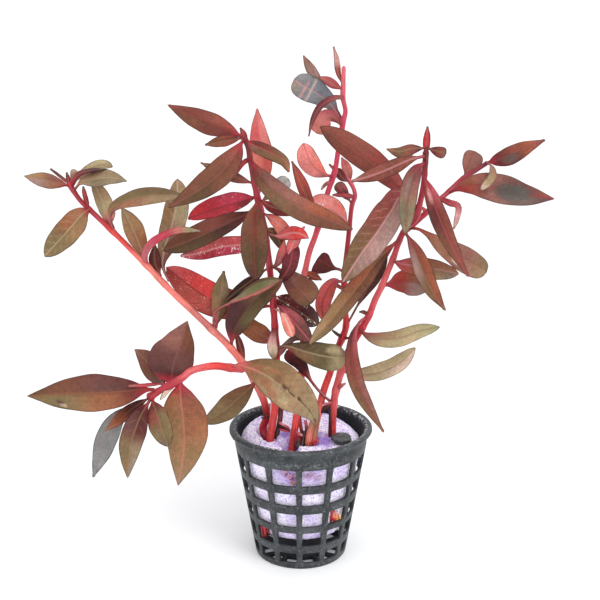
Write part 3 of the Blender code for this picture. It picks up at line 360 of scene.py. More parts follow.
finishes = {slotName: leafMaterial(slotName + "_surface")
            for slotName in ("leaf_olive", "leaf_brown", "leaf_red", "leaf_pink")}
finishes["stem_red"] = stemMaterial("stem_skin")
finishes["pot_black"] = potMaterial("moulded_plastic")
finishes["foam_lilac"] = foamMaterial("lilac_foam")
finishes["stone_grey"] = stoneMaterial("dark_stone")
print("finishes ready")


# curves and meshes
def unit(value):
    # kept between 0 and 1
    return min(max(value, 0), 1)


def seen(across, down, depth):
    u = (across - sheet["axis"]) / sheet["scale"]
    v = (sheet["middle"] - down) / sheet["scale"]
    away = math.cos(sheet["tilt"]) + v * math.sin(sheet["tilt"])
    rise = v * math.cos(sheet["tilt"]) - math.sin(sheet["tilt"])
    reach = (depth + sheet["away"]) / away
    return Vector((u * reach, depth, sheet["height"] + rise * reach))


def around(radius, turn, z):
    # the point at this turn from the front, to the right
    return Vector((radius * math.sin(turn), -radius * math.cos(turn), z))


def curveAt(line, t):
    # point and direction of a smooth line through the given points
    knots = [Vector(p) for p in line]
    lengths = [0.0]
    for a, b in zip(knots, knots[1:]):
        lengths.append(lengths[-1] + (b - a).length)
    reach = unit(t) * lengths[-1]
    i = 0
    while i < len(knots) - 2 and reach > lengths[i + 1]:
        i += 1
    span = lengths[i + 1] - lengths[i]
    s = (reach - lengths[i]) / span
    start, end = knots[i], knots[i + 1]
    before = knots[i - 1] if i else start - (end - start)
    after = knots[i + 2] if i + 2 < len(knots) else end + (end - start)
    low = (end - before) * (span / max((end - before).length, 1e-6))
    high = (after - start) * (span / max((after - start).length, 1e-6))
    s2, s3 = s * s, s * s * s
    point = start * (2 * s3 - 3 * s2 + 1) + low * (s3 - 2 * s2 + s)
    point += end * (3 * s2 - 2 * s3) + high * (s3 - s2)
    slope = start * (6 * s2 - 6 * s) + low * (3 * s2 - 4 * s + 1)
    slope += end * (6 * s - 6 * s2) + high * (3 * s2 - 2 * s)
    return point, slope.normalized()


# half width along a leaf, as a share of its widest place
leafForms = {
    "lance": ((0, 0.08), (0.08, 0.14), (0.2, 0.52), (0.35, 0.86), (0.5, 1), (0.65, 0.9), (0.8, 0.62),
              (0.92, 0.27), (1, 0)),
    "oval": ((0, 0.08), (0.08, 0.18), (0.2, 0.62), (0.35, 0.92), (0.5, 1), (0.7, 0.95), (0.85, 0.7),
             (0.95, 0.36), (1, 0)),
    "blunt": ((0, 0.08), (0.1, 0.2), (0.25, 0.6), (0.45, 0.9), (0.6, 1), (0.8, 0.97), (0.93, 0.72), (1, 0.3)),
    "strip": ((0, 0.6), (0.2, 1), (0.5, 1), (0.8, 0.8), (1, 0.1)),
    "bud": ((0, 0.6), (0.3, 1), (0.6, 0.95), (0.85, 0.5), (1, 0)),
}


def formAt(form, t, widest):
    # smooth reading of the form's table
    t = t ** (math.log(0.5) / math.log(widest)) if t > 0 else 0.0
    table = leafForms[form]
    for i in range(len(table) - 1):
        (t0, w0), (t1, w1) = table[i], table[i + 1]
        if t <= t1:
            tBefore, wBefore = table[i - 1] if i else (t0 - (t1 - t0), w0)
            s = (t - t0) / (t1 - t0)
            low = (w1 - wBefore) / (t1 - tBefore) * (t1 - t0)
            high = w1 - w0
            if i + 2 < len(table):
                tAfter, wAfter = table[i + 2]
                high = (wAfter - w0) / (tAfter - t0) * (t1 - t0)
            s2, s3 = s * s, s * s * s
            smooth = w0 * (2 * s3 - 3 * s2 + 1) + low * (s3 - 2 * s2 + s)
            return max(smooth + w1 * (3 * s2 - 2 * s3) + high * (s3 - s2), 0.0)
    return table[-1][1]


def blend(stops, t):
    # tones at even steps from 0 to 1, eased between
    place = unit(t) * (len(stops) - 1)
    i = min(int(place), len(stops) - 2)
    s = place - i
    s = s * s * (3 - 2 * s)
    return stops[i] * (1 - s) + stops[i + 1] * s


def setLayer(mesh, key, values, kind="VECTOR"):
    layer = mesh.attributes.new(key, "FLOAT_" + kind, "POINT")
    layer.data.foreach_set(kind.lower(), np.array(values, np.float32).ravel())


def buildPiece(name, points, faces, slotName, colours=None, vectors=None):
    # one mesh in metres, with named attributes for its finish
    mesh = bpy.data.meshes.new(name)
    mesh.from_pydata([tuple(p) for p in points], [], faces)
    for key, values in (colours or {}).items():
        setLayer(mesh, key, values, "COLOR")
    for key, values in (vectors or {}).items():
        setLayer(mesh, key, values)
    mesh.validate()
    mesh.calc_loop_triangles()
    volume = 0.0
    for tri in mesh.loop_triangles:
        a, b, c = (mesh.vertices[i].co for i in tri.vertices)
        volume += a.dot(b.cross(c))
    if volume < 0:
        mesh.flip_normals()
    mesh.shade_smooth()
    mesh.set_sharp_from_angle(angle=math.radians(60))
    made = bpy.data.objects.new(name, mesh)
    bpy.context.scene.collection.objects.link(made)
    mesh.materials.append(finishes[slotName])
    return made


def ringFaces(rings, perRing, base=0):
    return [(base + i * perRing + j, base + i * perRing + (j + 1) % perRing,
             base + (i + 1) * perRing + (j + 1) % perRing, base + (i + 1) * perRing + j)
            for i in range(rings - 1) for j in range(perRing)]


def cappedFaces(rings, perRing):
    last = (rings - 1) * perRing
    return ringFaces(rings, perRing) + [tuple(reversed(range(perRing))), tuple(range(last, last + perRing))]


acrossSteps = (0.93, 0.78, 0.6, 0.4, 0.2, 0.07, 0.0, -0.07, -0.2, -0.4, -0.6, -0.78, -0.93)
leafShape = {
    "stations": 20, "smallStations": 12, "stationsPerMm": 0.7, "thick": 0.42, "stalk": 1.05, "rib": 0.34,
    "puff": 0.05, "wave": 0.035, "waves": 2.3, "ribWidth": 0.5, "veinSpacing": 3.3, "smallVeinSpacing": 2.2,
    "veinSlant": 0.62, "veinBend": 0.045,
}


def row(line, left, right, liftLeft=-1.0, liftRight=-1.0, form="lance", widest=0.5, tones="redBrown brown olive",
        half=None, back="rose redBrown mauve", vein="khaki", veins=0.22, stalk="crimson", under=False, paintedGlints=0.0,
        patches=()):
    # left and right are half widths on the sheet, lifts are how far the edges stand back in mm;
    # tones run from stalk to tip, half is for the right half where it differs, back for the hidden face
    # paintedGlints sets how many pale dots are painted on the leaf as glints
    return {"line": line, "wide": (left, right), "lift": (liftLeft, liftRight), "form": form, "widest": widest,
            "tones": tones, "half": half or tones, "back": back, "vein": vein, "veins": veins, "stalk": stalk,
            "under": under, "paintedGlints": paintedGlints, "patches": patches}


def leafRows(r, seed, count, stalkThick):
    # stations along a leaf: share of its length, left edge, middle, right edge and the way it faces
    rows = []
    for i in range(count):
        x = i / (count - 1)
        t = 0.55 * x + 0.45 * (0.5 - 0.5 * math.cos(math.pi * x))      # closer together at both ends
        spot, slope = curveAt(r["line"], t)
        across = Vector((slope.y, -slope.x, 0))
        across = across.normalized() if across.length > 1e-6 else Vector((1, 0, 0))
        width = formAt(r["form"], t, r["widest"])
        edges = []
        for side, way in ((0, 1), (1, -1)):
            wobble = 1 + 0.025 * math.sin(9 * t + seed * 1.7 + 2 * side) + 0.015 * math.sin(23 * t + seed + side)
            outward = across * (way * r["wide"][side]) * width * wobble
            edges.append(seen(*(spot + outward + Vector((0, 0, r["lift"][side] * width)))))
        left, right = edges
        middle = seen(*spot)
        if (left - right).length < stalkThick:
            wide = (left - right).normalized() * stalkThick / 2 if width > 0.05 else (left - right) / 2
            left, right = middle + wide, middle - wide
        normal = (seen(*(spot + slope)) - middle).cross(left - right)
        rows.append((t, left, middle, right, normal.normalized() if normal.length > 1e-9 else None))
    return rows


def leafParts(r, seed, small=False):
    # points, faces and attribute values of one leaf
    k = leafShape
    spacing = k["smallVeinSpacing"] if small else k["veinSpacing"]
    thick = k["thick"] * (0.8 if small else 1.0)
    stalkThick = k["stalk"] * (0.75 if small else 1.0)
    ends = [seen(*curveAt(r["line"], i / 12)[0]) for i in range(13)]
    long = sum((b - a).length for a, b in zip(ends, ends[1:]))
    count = (k["smallStations"] if small else k["stations"]) + int(long * k["stationsPerMm"])
    eye = Vector((0, -sheet["away"], sheet["height"]))
    tones, halfTones, backTones = ([toneOf(n) for n in r[key].split()] for key in ("tones", "half", "back"))
    stalkTone = toneOf(r["stalk"])
    veinTone = toneOf(r["vein"])
    strip = r["form"] in ("strip", "bud")
    rows = leafRows(r, seed, count, stalkThick)
    fallback = next(n for *_, n in rows if n is not None)
    facing = sum((n or fallback).dot(eye - m) for _, _, m, _, n in rows)
    turned = 1 if facing > 0 else -1
    points, tone, veinRow, space = [], [], [], []

    def add(point, t, s, edgeMm, near):
        halfWide = max((rowLeft - rowMiddle).length if s >= 0 else (rowRight - rowMiddle).length, 1e-3)
        reach = abs(s) * halfWide
        lane = (t * long - reach * k["veinSlant"] - reach * reach * k["veinBend"]) / spacing
        lane += (0.4 if s < 0 else 0) + seed * 0.13
        u = max(0.0, (t - 0.1) / 0.9)
        if near:
            mix = unit((s + 0.12) / 0.24)
            colour = blend(halfTones, u) * (1 - mix) + blend(tones, u) * mix
        else:
            colour = blend(backTones, u)
        ribTone = veinTone if near else colour * 1.25
        for pu, ps, ru, rs, name, strength in r["patches"] if near else ():
            far = math.hypot((t - pu) / ru, (s - ps) / rs)
            share = strength * unit((1.15 - far) / 0.4)
            colour = colour * (1 - share) + toneOf(name) * share
            ribTone = ribTone * (1 - share) + toneOf(name) * share
        stalkShare = 0.0 if strip else unit((0.17 - t) / 0.1)
        colour = colour * (1 - stalkShare) + stalkTone * stalkShare
        points.append(point * mm)
        tone.append((*colour, r["paintedGlints"]))
        strength = 0.0 if strip else r["veins"] * (1 if near else 0.8)
        veinRow.append((*ribTone, strength * (1 - stalkShare)))
        space.append((lane, reach, edgeMm))

    for t, rowLeft, rowMiddle, rowRight, normal in rows[:-1]:
        normal = (normal or fallback) * turned
        rounded = unit((0.2 - t) / 0.12)            # 1 where the stalk is round, 0 along the blade
        flatter = 1 - rounded
        tip = min(1.0, (1 - t) / 0.12)
        halfThick = thick / 2 * (0.55 + 0.45 * tip) * flatter + stalkThick / 2 * rounded
        add(rowLeft, t, 1.0, 0.0, True)
        for near in (True, False):
            for s in (acrossSteps if near else reversed(acrossSteps)):
                edge = rowLeft if s >= 0 else rowRight
                a = abs(s)
                halfWide = (edge - rowMiddle).length
                flat = (1 - a ** 3) * flatter + math.sqrt(max(0, 1 - a * a)) * rounded
                puff = k["puff"] * halfWide * 4 * a * (1 - a) * flatter
                swing = math.sin(2 * math.pi * (t * k["waves"] + seed * 0.37 + (0.4 if s < 0 else 0)))
                sway = k["wave"] * halfWide * a * a * swing * flatter
                rib = math.exp(-(a * halfWide / k["ribWidth"]) ** 2) * flatter * (1 - t) ** 0.7
                rib *= 0.25 if strip else 1
                out = halfThick * flat + (k["rib"] * rib if near == r["under"] else -0.1 * rib)
                lift = (-puff if r["under"] else puff) + sway
                edgeMm = min((1 - a) * halfWide, (1 - t) * long * 0.5)
                at = rowMiddle.lerp(edge, a) + normal * (lift + (out if near else -out))
                add(at, t, s, edgeMm, near)
            if near:
                add(rowRight, t, -1.0, 0.0, True)
    perRing = 2 + 2 * len(acrossSteps)
    rings = count - 1
    faces = ringFaces(rings, perRing)
    faces.append(tuple(reversed(range(perRing))))
    _, rowLeft, rowMiddle, rowRight, _ = rows[-1]
    add((rowLeft + rowRight) / 2, 1.0, 0.0, 0.0, True)
    last = (rings - 1) * perRing
    faces += [(last + j, last + (j + 1) % perRing, rings * perRing) for j in range(perRing)]
    return points, faces, tone, veinRow, space


def joined(parts):
    # several leaves or stalks as one mesh
    points, faces, tone, veinRow, space = [], [], [], [], []
    for p, f, t, v, s in parts:
        base = len(points)
        points += p
        faces += [tuple(base + i for i in face) for face in f]
        tone += t
        veinRow += v
        space += s
    return points, faces, tone, veinRow, space


def leafPiece(name, parts, slotName, nodes=()):
    points, faces, tone, veinRow, space = joined(parts)
    colours = {"tone": tone, "veinTone": veinRow}
    made = buildPiece(name, points, faces, slotName, colours, {"leafSpace": space})
    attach(made, "root")
    if nodes:
        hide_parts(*nodes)


def buildLeaves(rows):
    for i, (name, r) in enumerate(rows.items()):
        blade = leafParts(r, i * 1.31 + len(name))
        leafPiece(name + "_blade", [blade], leafSlots.get(name, "leaf_olive"), (name,))


stemShape = {"sides": 18, "ridge": 0.035, "flutter": 0.02, "knot": 0.16, "knotLength": 1.3, "step": 0.9,
             "scarDip": 0.12}


def tubeParts(line, thick, thin, tones, knots=(), scars=(), seed=0.0):
    # a round stalk along a line, with swellings at knots and dark scars: (t, turn, size mm, tone)
    k = stemShape
    rough = [seen(*curveAt(line, i / 40)[0]) for i in range(41)]
    long = sum((b - a).length for a, b in zip(rough, rough[1:]))
    count = max(6, int(long / k["step"]))
    stops = [toneOf(n) for n in tones.split()]
    points, tone, space = [], [], []
    side = Vector((1, 0, 0))
    for i in range(count + 1):
        t = i / count
        here, ahead, behind = (seen(*curveAt(line, unit(u))[0]) for u in (t, t + 0.01, t - 0.01))
        along = (ahead - behind).normalized()
        side = (side - along * side.dot(along)).normalized()
        other = along.cross(side)
        radius = (thick + (thin - thick) * t) / 2
        swell = 1 + sum(k["knot"] * math.exp(-(((t - kt) * long) / k["knotLength"]) ** 2) for kt in knots)
        if i == count:
            swell *= 0.6
        for j in range(k["sides"]):
            turn = 2 * math.pi * j / k["sides"]
            bend = 1 + k["ridge"] * math.cos(4 * turn + 1.5 * t + seed)
            bend += k["flutter"] * math.sin(3 * turn + t * long * 0.4)
            colour = blend(stops, t)
            for st, sTurn, size, name in scars:
                gap = math.hypot((t - st) * long, ((turn - sTurn + math.pi) % (2 * math.pi) - math.pi) * radius)
                share = unit((size - gap) / (size * 0.5))
                colour = colour * (1 - share) + toneOf(name) * share
                bend += k["scarDip"] * math.exp(-(gap / (size * 0.8)) ** 2)
            points.append((here + (side * math.cos(turn) + other * math.sin(turn)) * radius * swell * bend) * mm)
            tone.append((*colour, 0.0))
            space.append((t * long, math.cos(turn) + seed, math.sin(turn)))
    return points, cappedFaces(count + 1, k["sides"]), tone, [], space


def tubePiece(name, parts, nodes=()):
    points, faces, tone, _, space = joined(parts)
    made = buildPiece(name, points, faces, "stem_red", {"tone": tone}, {"stemSpace": space})
    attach(made, "root")
    if nodes:
        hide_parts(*nodes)


# stems
stems = {
    "left_stem": {"thick": 3.1, "thin": 1.6,
        "tones": "maroon crimson crimsonRed orange orange salmon orange orange flame crimson crimson",
        "line": [ (263, 492, -4), (264, 470, -3), (266, 440, -3), (263, 428, -2), (267, 417, -2),
        (266, 408, -3), (262, 396, -4), (250, 373, -5), (240, 359.5, -5), (230, 347, -5), (213, 330.4, -4),
        (200, 318, -3), (180, 299.5, -2), (160, 279.5, 0), (145, 263.5, 1), (130, 248.5, 2), (115, 233.5, 2),
        (105, 224, 3), (90, 210, 3), (80, 200, 4), (73, 190, 4), (68, 182, 4)]},
    "low_left_branch": {"thick": 2.9, "thin": 2.2, "tones": "coral flame coral crimson crimson",
        "line": [ (242, 369, -5), (232, 368, -10), (215, 366, -14), (200, 368, -17), (190, 371.5, -19),
        (182, 378, -21), (170, 385, -23), (157, 392, -25), (148, 399, -26)]},
    "inner_left_stem": {"thick": 3.0, "thin": 1.7,
        "tones": "crimsonRed flame crimsonRed crimson crimson darkRed", "line": [ (270, 475, -9.5),
        (270, 452, -9.5), (270.2, 442, -9.2), (271, 432, -8.4), (273, 420, -7.4), (275.5, 403, -6.6),
        (277, 380, -6.5), (276, 350, -6.5), (274.5, 320, -7), (273, 300, -8), (270, 270, -9), (267, 245, -10),
        (263, 220, -12), (258, 200, -14), (254, 182, -16), (251, 165, -18), (248, 147, -20), (244, 137, -21)]},
    "tall_stem": {"thick": 2.9, "thin": 1.5, "tones": "crimsonRed flame crimsonRed coral cherry cherry pink",
        "line": [ (289, 484, -16.5), (292.5, 446, -10.5), (296, 420, -9), (299, 400, -8), (301, 380, -7),
        (303, 350, -5), (303, 320, -3), (304, 280, 0), (307, 262, 2), (310, 250, 3), (315, 237, 4),
        (322, 215, 6), (327, 195, 7), (331, 183, 8), (335, 170, 8), (338, 152, 9), (341, 135, 10),
        (343.5, 120, 10), (345.5, 111, 10), (343, 98, 10), (343.2, 85, 10), (343.8, 66, 10)]},
    "centre_stem": {"thick": 3.0, "thin": 1.4,
        "tones": "tan orange flame crimsonRed flame crimson crimson pink", "line": [ (309, 472, -12),
        (310.5, 445, -10.5), (314, 430, -10), (319, 410, -8.5), (324, 390, -6), (331, 370, -4), (338, 348, -1),
        (346, 326, 1), (344, 300, 5), (345, 270, 9), (347, 250, 11), (349, 232, 12), (350, 222, 13),
        (352, 205, 14), (355, 195, 14), (352, 185, 14), (346, 177, 14)]},
    "right_stem": {"thick": 3.2, "thin": 1.5,
        "tones": "crimsonRed flame coral crimsonRed coral crimson crimson darkRose", "line": [ (334, 490, -5),
        (332, 440, -5), (332.5, 420, -5.5), (333.5, 405, -6), (336, 390, -6.5), (341, 372, -7), (348, 352, -7),
        (356, 338, -6), (364, 325, -6), (370, 313, -5), (375, 300, -5), (381, 288, -5), (388, 271, -5),
        (394.5, 255, -5), (399.5, 240, -5), (404, 231.5, -5), (411, 226.5, -4), (418, 220.5, -3),
        (427, 212, -2), (440, 199.5, 0), (450, 190.5, 2), (462, 179, 4), (475, 171, 5), (488, 162.5, 6)]},
    "right_inner_branch": {"thick": 2.2, "thin": 1.6, "tones": "crimson crimson darkRed",
        "line": [ (405.5, 227, -5.5), (411, 223.5, -9.5), (416, 217, -12), (419.5, 205, -14), (423, 188, -16),
        (425, 168, -18), (426, 150, -20)]},
}

# leaves, each from its stalk to its tip
leftLeaves = {
    "left_leaf_1": row([(70, 186, 4), (58, 183, 2), (42, 179.5, -2), (24, 176, -5)], 8, 7.5, -3, 2,
        tones="brick tan greyMauve khaki", half="brick mauve ochre khaki"),
    "left_leaf_2": row([(74, 190, 4), (82, 182, -1), (92, 180.5, -2), (108, 178, -4), (127, 181, -6)], 9, 7.5,
        2, -3, "lance", 0.55, "mauve khaki greyOlive moss", "khaki greyOlive greyOlive greyGreen",
        vein="paleKhaki"),
    "left_leaf_3": row([(91, 209, 3), (83, 214, 0), (72, 226.5, -3), (60, 240, -6), (44.5, 257, -9)], 12.5,
        13.5, -3, 2, "oval", 0.44, "ochre ochre moss moss", "tan copper moss moss", vein="paleKhaki",
        veins=0.5),
    "left_leaf_4": row([(114, 229, 2), (110, 218, -1), (113, 208, -2), (130, 200, -4), (150, 196, -5),
        (168, 195.5, -7), (187, 196, -8)], 9.5, 8.5, 3, -3, "lance", 0.55, "ochre moss olive moss",
        "mauve tan khaki greyOlive", stalk="pink"),
    "left_leaf_5": row([(169, 281, -1), (162.5, 265, 3), (165.5, 246, 6), (172, 225, 8), (177, 200, 10),
        (177.5, 178.5, 11)], 11.5, 13.5, 2, 2, "oval", 0.6, "chestnut khaki ochre khaki",
        "purpleBrown mauve paleKhaki khaki", vein="cream", veins=0.35),
    "left_leaf_6": row([(147, 265, 1), (141, 248, 1), (132, 227, -1), (121.5, 207, -3)], 9.5, 11, -1, -1,
        "lance", 0.55, "rust tan ochre khaki", "rust copper ochre khaki", vein="paleKhaki", veins=0.35),
    "left_leaf_7": row([(216, 328, -4), (219, 307, -1), (221, 289, 0), (224, 270.5, 1)], 9, 9.5, 1, 1, "lance",
        0.48, "pink ochre moss moss", "oliveBrown olive greyOlive olive"),
    "left_leaf_8": row([(213.5, 326, -4), (214.5, 314, -9), (221, 307.5, -12), (238, 300.5, -15),
        (256, 293, -18), (283, 279.5, -20.5)], 8.5, 2.0, 3, -1, "lance", 0.72,
        "rose greyOlive leafGreen greyOlive", "pink pink salmon greenOlive", vein="pink", stalk="pink"),
    "left_leaf_9": row([(231.5, 345, -5), (233, 335, -8), (240, 320, -10), (251, 304, -11.5), (265, 291, -13.5),
        (283, 280, -16)], 16, 12, -1, -1, "oval", 0.47, "purpleDark purpleDark oliveBrown moss",
        "darkBrown greenOlive darkOlive brown", vein="mauve", veins=0.1),
    "mid_leaf": row([(258, 380, -5), (243.5, 394, -10), (229, 407, -13), (214, 417.5, -15), (199, 424, -16)],
        11.5, 12, -3, 2, "lance", 0.5, "oliveBrown olive moss greyOlive", "brown oliveBrown moss greyOlive",
        vein="khaki", veins=0.3),
}
leftSmall = [
    row([(70, 184, 4), (61, 177, 7), (50, 168.5, 10)], 1.6, 1.6, 0, 0, "strip", tones="crimson darkRed maroon"),
    row([(69, 182, 4), (66.5, 172, 5)], 2, 2, 0, 0, "bud", tones="crimson darkRed mauve"),
    row([(70, 184.5, 4), (73, 177, 8), (73, 169, 11)], 3, 5, 1, 1, "blunt", tones="crimson mauve paleKhaki"),
    row([(71, 186, 4), (77, 175, 2), (88, 171, -1), (98, 169.5, -2), (107, 169, -2)], 2.5, 3, 2, -2, "bud",
        tones="crimson darkRed maroon greenOlive"),
    row([(72, 187, 4), (80, 176, 8), (94, 167, 9), (105, 164.5, 9), (113, 167, 9)], 5.5, 5.5, 0, 2, "oval", 0.6,
        "mauve paleKhaki paleKhaki"),
    row([(110, 227, 3), (107.5, 212, 6), (101.5, 197, 8), (92.5, 181, 9)], 8, 8.5, 1, -1, "oval", 0.45,
        "salmon paleKhaki khaki moss", vein="paleKhaki"),
    row([(88, 206, 3), (85, 196, 1), (83, 186, -1)], 2.4, 2.4, 0, 0, "strip", tones="crimson crimson rose"),
    row([(146, 264, 1), (145, 254, -4), (151, 244, -7), (163, 236, -7), (180, 230, -7), (201, 231, -7)], 4, 3.5,
        1, -1, "strip", tones="pink pink cherry cherry salmon paleKhaki cream"),
    row([(161, 276, 0), (155, 262, 3), (155, 244, 4)], 6, 6.5, 0, 0, tones="darkRed wine wine"),
    row([(245, 364, -5), (240, 346, -3), (236, 331, -2)], 4, 4, 0, 0, tones="brickRed darkRed darkRed"),
]

lowLeftLeaves = {
    "low_left_leaf_1": row([(154, 389.5, -26), (140, 390, -29), (120, 392, -32), (97, 393.5, -35),
        (60, 395, -38), (26.5, 396, -40)], 18.5, 19.5, -5, 4, "lance", 0.46, "darkRed copper moss olive",
        "wine purpleBrown brown darkOlive", vein="copper", veins=0.3,
        patches=((0.735, 0.6, 0.022, 0.14, "blackBrown", 0.9), (0.715, 0.74, 0.016, 0.1, "cream", 0.9))),
    "low_left_leaf_2": row([(143, 402, -25), (120, 416, -25), (107.5, 436, -26), (100.5, 456, -28),
        (93, 477.5, -30)], 11, 11, 1, 1, "lance", 0.55, "maroon silver silver silver", vein="silverGreen",
        veins=0.25),
    "low_left_leaf_3": row([(150, 400, -26.5), (140.5, 416, -35), (132, 440, -38), (129, 458, -39),
        (127.5, 478.5, -39)], 12, 13, -1, -1, "lance", 0.48, "wine wine greyOlive silverTan",
        "maroon purpleBrown moss ochre", vein="khaki", veins=0.25),
    "low_left_leaf_4": row([(152, 399, -26), (157, 413, -32), (162, 429, -37), (168.5, 447, -39)], 10.5, 12, -1,
        -1, "oval", 0.48, "darkRose moss moss greenOlive", "chestnut redBrown moss greyBrown", vein="khaki"),
    "low_left_leaf_5": row([(180, 381, -21.5), (181, 400, -25), (184, 425, -28), (184, 450, -29),
        (178, 486, -29)], 24, 21.5, 1, 1, "lance", 0.4, "redBrown copper ochre greyOlive",
        "copper ochre ochre khaki", vein="salmon", veins=0.35),
    "low_left_leaf_6": row([(171, 384, -22), (172, 373, -16), (174.5, 360, -13), (180, 345, -11),
        (187.5, 320.5, -10)], 26, 20, 1, 1, "lance", 0.35, "purpleDark purpleBrown mauve mauve",
        "purpleDark purpleBrown brown brown", vein="mauve", veins=0.2),
    "front_leaf": row([(234, 366, -12), (241, 365, -14.5), (253, 369, -18), (265, 374.5, -20.5),
        (278, 383, -22), (291.5, 394, -22.5), (303, 403.5, -22.5), (311.5, 414, -22), (317, 426, -22)], 22, 19,
        -1, -2, "lance", 0.5, "copper ochre khaki greyOlive", "copper khaki khaki greyOlive", vein="paleKhaki",
        veins=0.4, stalk="coral", patches=((0.14, 0.0, 0.16, 0.09, "salmon", 0.8),
        (0.3, 0.75, 0.2, 0.3, "greenOlive", 0.5), (0.36, -0.4, 0.07, 0.3, "copper", 0.7),
        (0.46, -0.62, 0.06, 0.2, "rust", 0.6), (0.44, 0.2, 0.05, 0.22, "oliveBrown", 0.8),
        (0.38, 0.42, 0.05, 0.14, "copper", 0.6), (0.53, 0.02, 0.028, 0.1, "darkBrown", 0.9),
        (0.57, 0.12, 0.02, 0.08, "darkBrown", 0.7), (0.62, -0.01, 0.035, 0.05, "blackBrown", 1.0),
        (0.7, 0.03, 0.03, 0.06, "blackBrown", 1.0), (0.77, -0.01, 0.035, 0.045, "blackBrown", 1.0),
        (0.84, 0.01, 0.03, 0.06, "blackBrown", 1.0), (0.9, 0.0, 0.03, 0.05, "blackBrown", 1.0),
        (0.96, 0.0, 0.04, 0.3, "darkBrown", 0.8), (0.68, 0.35, 0.03, 0.1, "oliveBrown", 0.5),
        (0.6, -0.5, 0.05, 0.2, "paleKhaki", 0.5))),
}
lowLeftSmall = [
    row([(151, 397, -25.7), (138, 404.5, -27), (126, 413.5, -30), (115, 423, -34), (104, 431.5, -35)], 6.5, 6.5,
        -1, -1, tones="maroon wine rust tan"),
    row([(166, 387, -23.5), (157, 377, -12), (148, 363, -5), (134.5, 349, -4)], 10, 15, 0, 1,
        tones="purpleBrown brown mauve"),
    row([(175, 383, -22), (167, 391, -24.5), (160, 400, -27)], 2.6, 2.6, 0, 0, "strip",
        tones="crimson cream cream"),
]

innerLeftLeaves = {
    "inner_left_leaf_1": row([(243, 137, -21), (225, 129, -20), (205, 121, -19), (185, 113, -17),
        (167, 104.5, -14)], 12, 11, -2, 2, "lance", 0.45, "darkRed chestnut brown brown",
        "brick redBrown chestnut redBrown", vein="brick"),
    "inner_left_leaf_2": row([(243, 140, -21), (233, 158, -28), (216.5, 177, -31), (196, 192, -32),
        (167.5, 208, -32)], 13, 14.5, -2, 1, "lance", 0.42, "chestnut brown darkOlive brown",
        "redBrown brown brown brown", vein="mauve", veins=0.2),
    "inner_left_leaf_3": row([(258, 196, -14), (263, 175, -10), (261.5, 155, -8), (258.5, 132, -6),
        (257, 107.5, -4)], 10.5, 11, 1, 1, "lance", 0.5, "coral orange coral salmon",
        "salmonRed salmonRed salmon salmon", back="redBrown brown olive", vein="coral", veins=0.35, under=True),
    "inner_left_leaf_4": row([(246, 141, -21), (258, 147, -27), (273, 154, -30), (284, 161, -31),
        (289, 172.5, -31)], 6.5, 7.5, 1, -1, "oval", 0.4, "darkRed chestnut oliveBrown tan",
        "mauve oliveBrown oliveBrown oliveBrown", vein="salmonRed"),
    "inner_left_leaf_5": row([(250, 158, -19), (262, 178, -26), (280, 195, -29), (300, 208, -30),
        (322, 217.5, -29), (353, 229.5, -27)], 11.5, 12, 1, -2, "oval", 0.45, "mauve mauve rust brown",
        "brown oliveBrown brown brown", vein="mauve", veins=0.3),
    "inner_left_leaf_6": row([(258, 197, -14), (255, 215, -23), (254.5, 240, -26), (254.5, 258, -26),
        (256, 280, -25)], 13.5, 14, -2, -2, "oval", 0.54, "redBrown brown darkOlive darkOlive",
        "rust brown darkOlive darkBrown", vein="rose", veins=0.2),
    "inner_left_leaf_7": row([(257, 197, -14), (240, 202, -15), (225, 206, -14), (207, 212, -13),
        (187.5, 219, -12)], 8, 12.5, -1, 1, "oval", 0.46, "darkRed crimson crimson crimsonRed",
        "cherry cherry crimsonRed crimsonRed", back="brown oliveBrown olive", vein="darkRed", veins=0.4,
        under=True, paintedGlints=0.15),
    "inner_left_leaf_8": row([(262, 207, -13), (235, 220, -9), (212, 231, -6), (190, 241, -4), (163, 251, -3)],
        10.5, 13, -1, 2, "oval", 0.56, "darkRose darkBrown darkOlive darkOlive", "wine redBrown brown brown",
        vein="mauve", veins=0.15, stalk="darkRed"),
    "inner_left_leaf_9": row([(267, 242, -10.5), (241, 245, -4), (220, 247, -1), (200, 253, 1), (180, 256, 2)],
        9, 9.5, 0, 1, "oval", 0.42, "crimson cherry crimson pink", "cherry coral coral rose",
        back="brown oliveBrown olive", vein="palePink", veins=0.6, under=True, paintedGlints=1.0),
    "inner_left_leaf_10": row([(272, 266, -9.5), (280, 271, -10.5), (289, 279, -12.5), (300, 290, -16),
        (312.5, 303, -17.5)], 15, 12, 1, -1, "blunt", 0.6, "mauve mauve brown oliveBrown",
        "maroon purpleBrown brown darkOlive", vein="mauve"),
    "inner_left_leaf_11": row([(271, 306, -7.5), (240, 306.5, -1), (213, 300.5, 3), (190, 286, 6),
        (166, 267, 8)], 16, 17, -1, 1, "oval", 0.52, "brick salmonRed salmonRed brickRed",
        "brick flame flame coral", back="brown oliveBrown olive", vein="darkRed", veins=0.5, under=True,
        paintedGlints=0.2),
    "inner_left_leaf_12": row([(277, 348, -6.5), (287, 346, -14), (302, 350.5, -17), (319, 355, -17),
        (334, 357.5, -16), (346, 358, -14)], 13.5, 13.5, 1, -1, "blunt", 0.6,
        "darkOlive darkOlive greenOlive greyOlive", "redBrown oliveBrown greenOlive paleKhaki",
        vein="paleKhaki", veins=0.25, patches=((0.82, 0.5, 0.12, 0.3, "paleKhaki", 0.6),)),
}
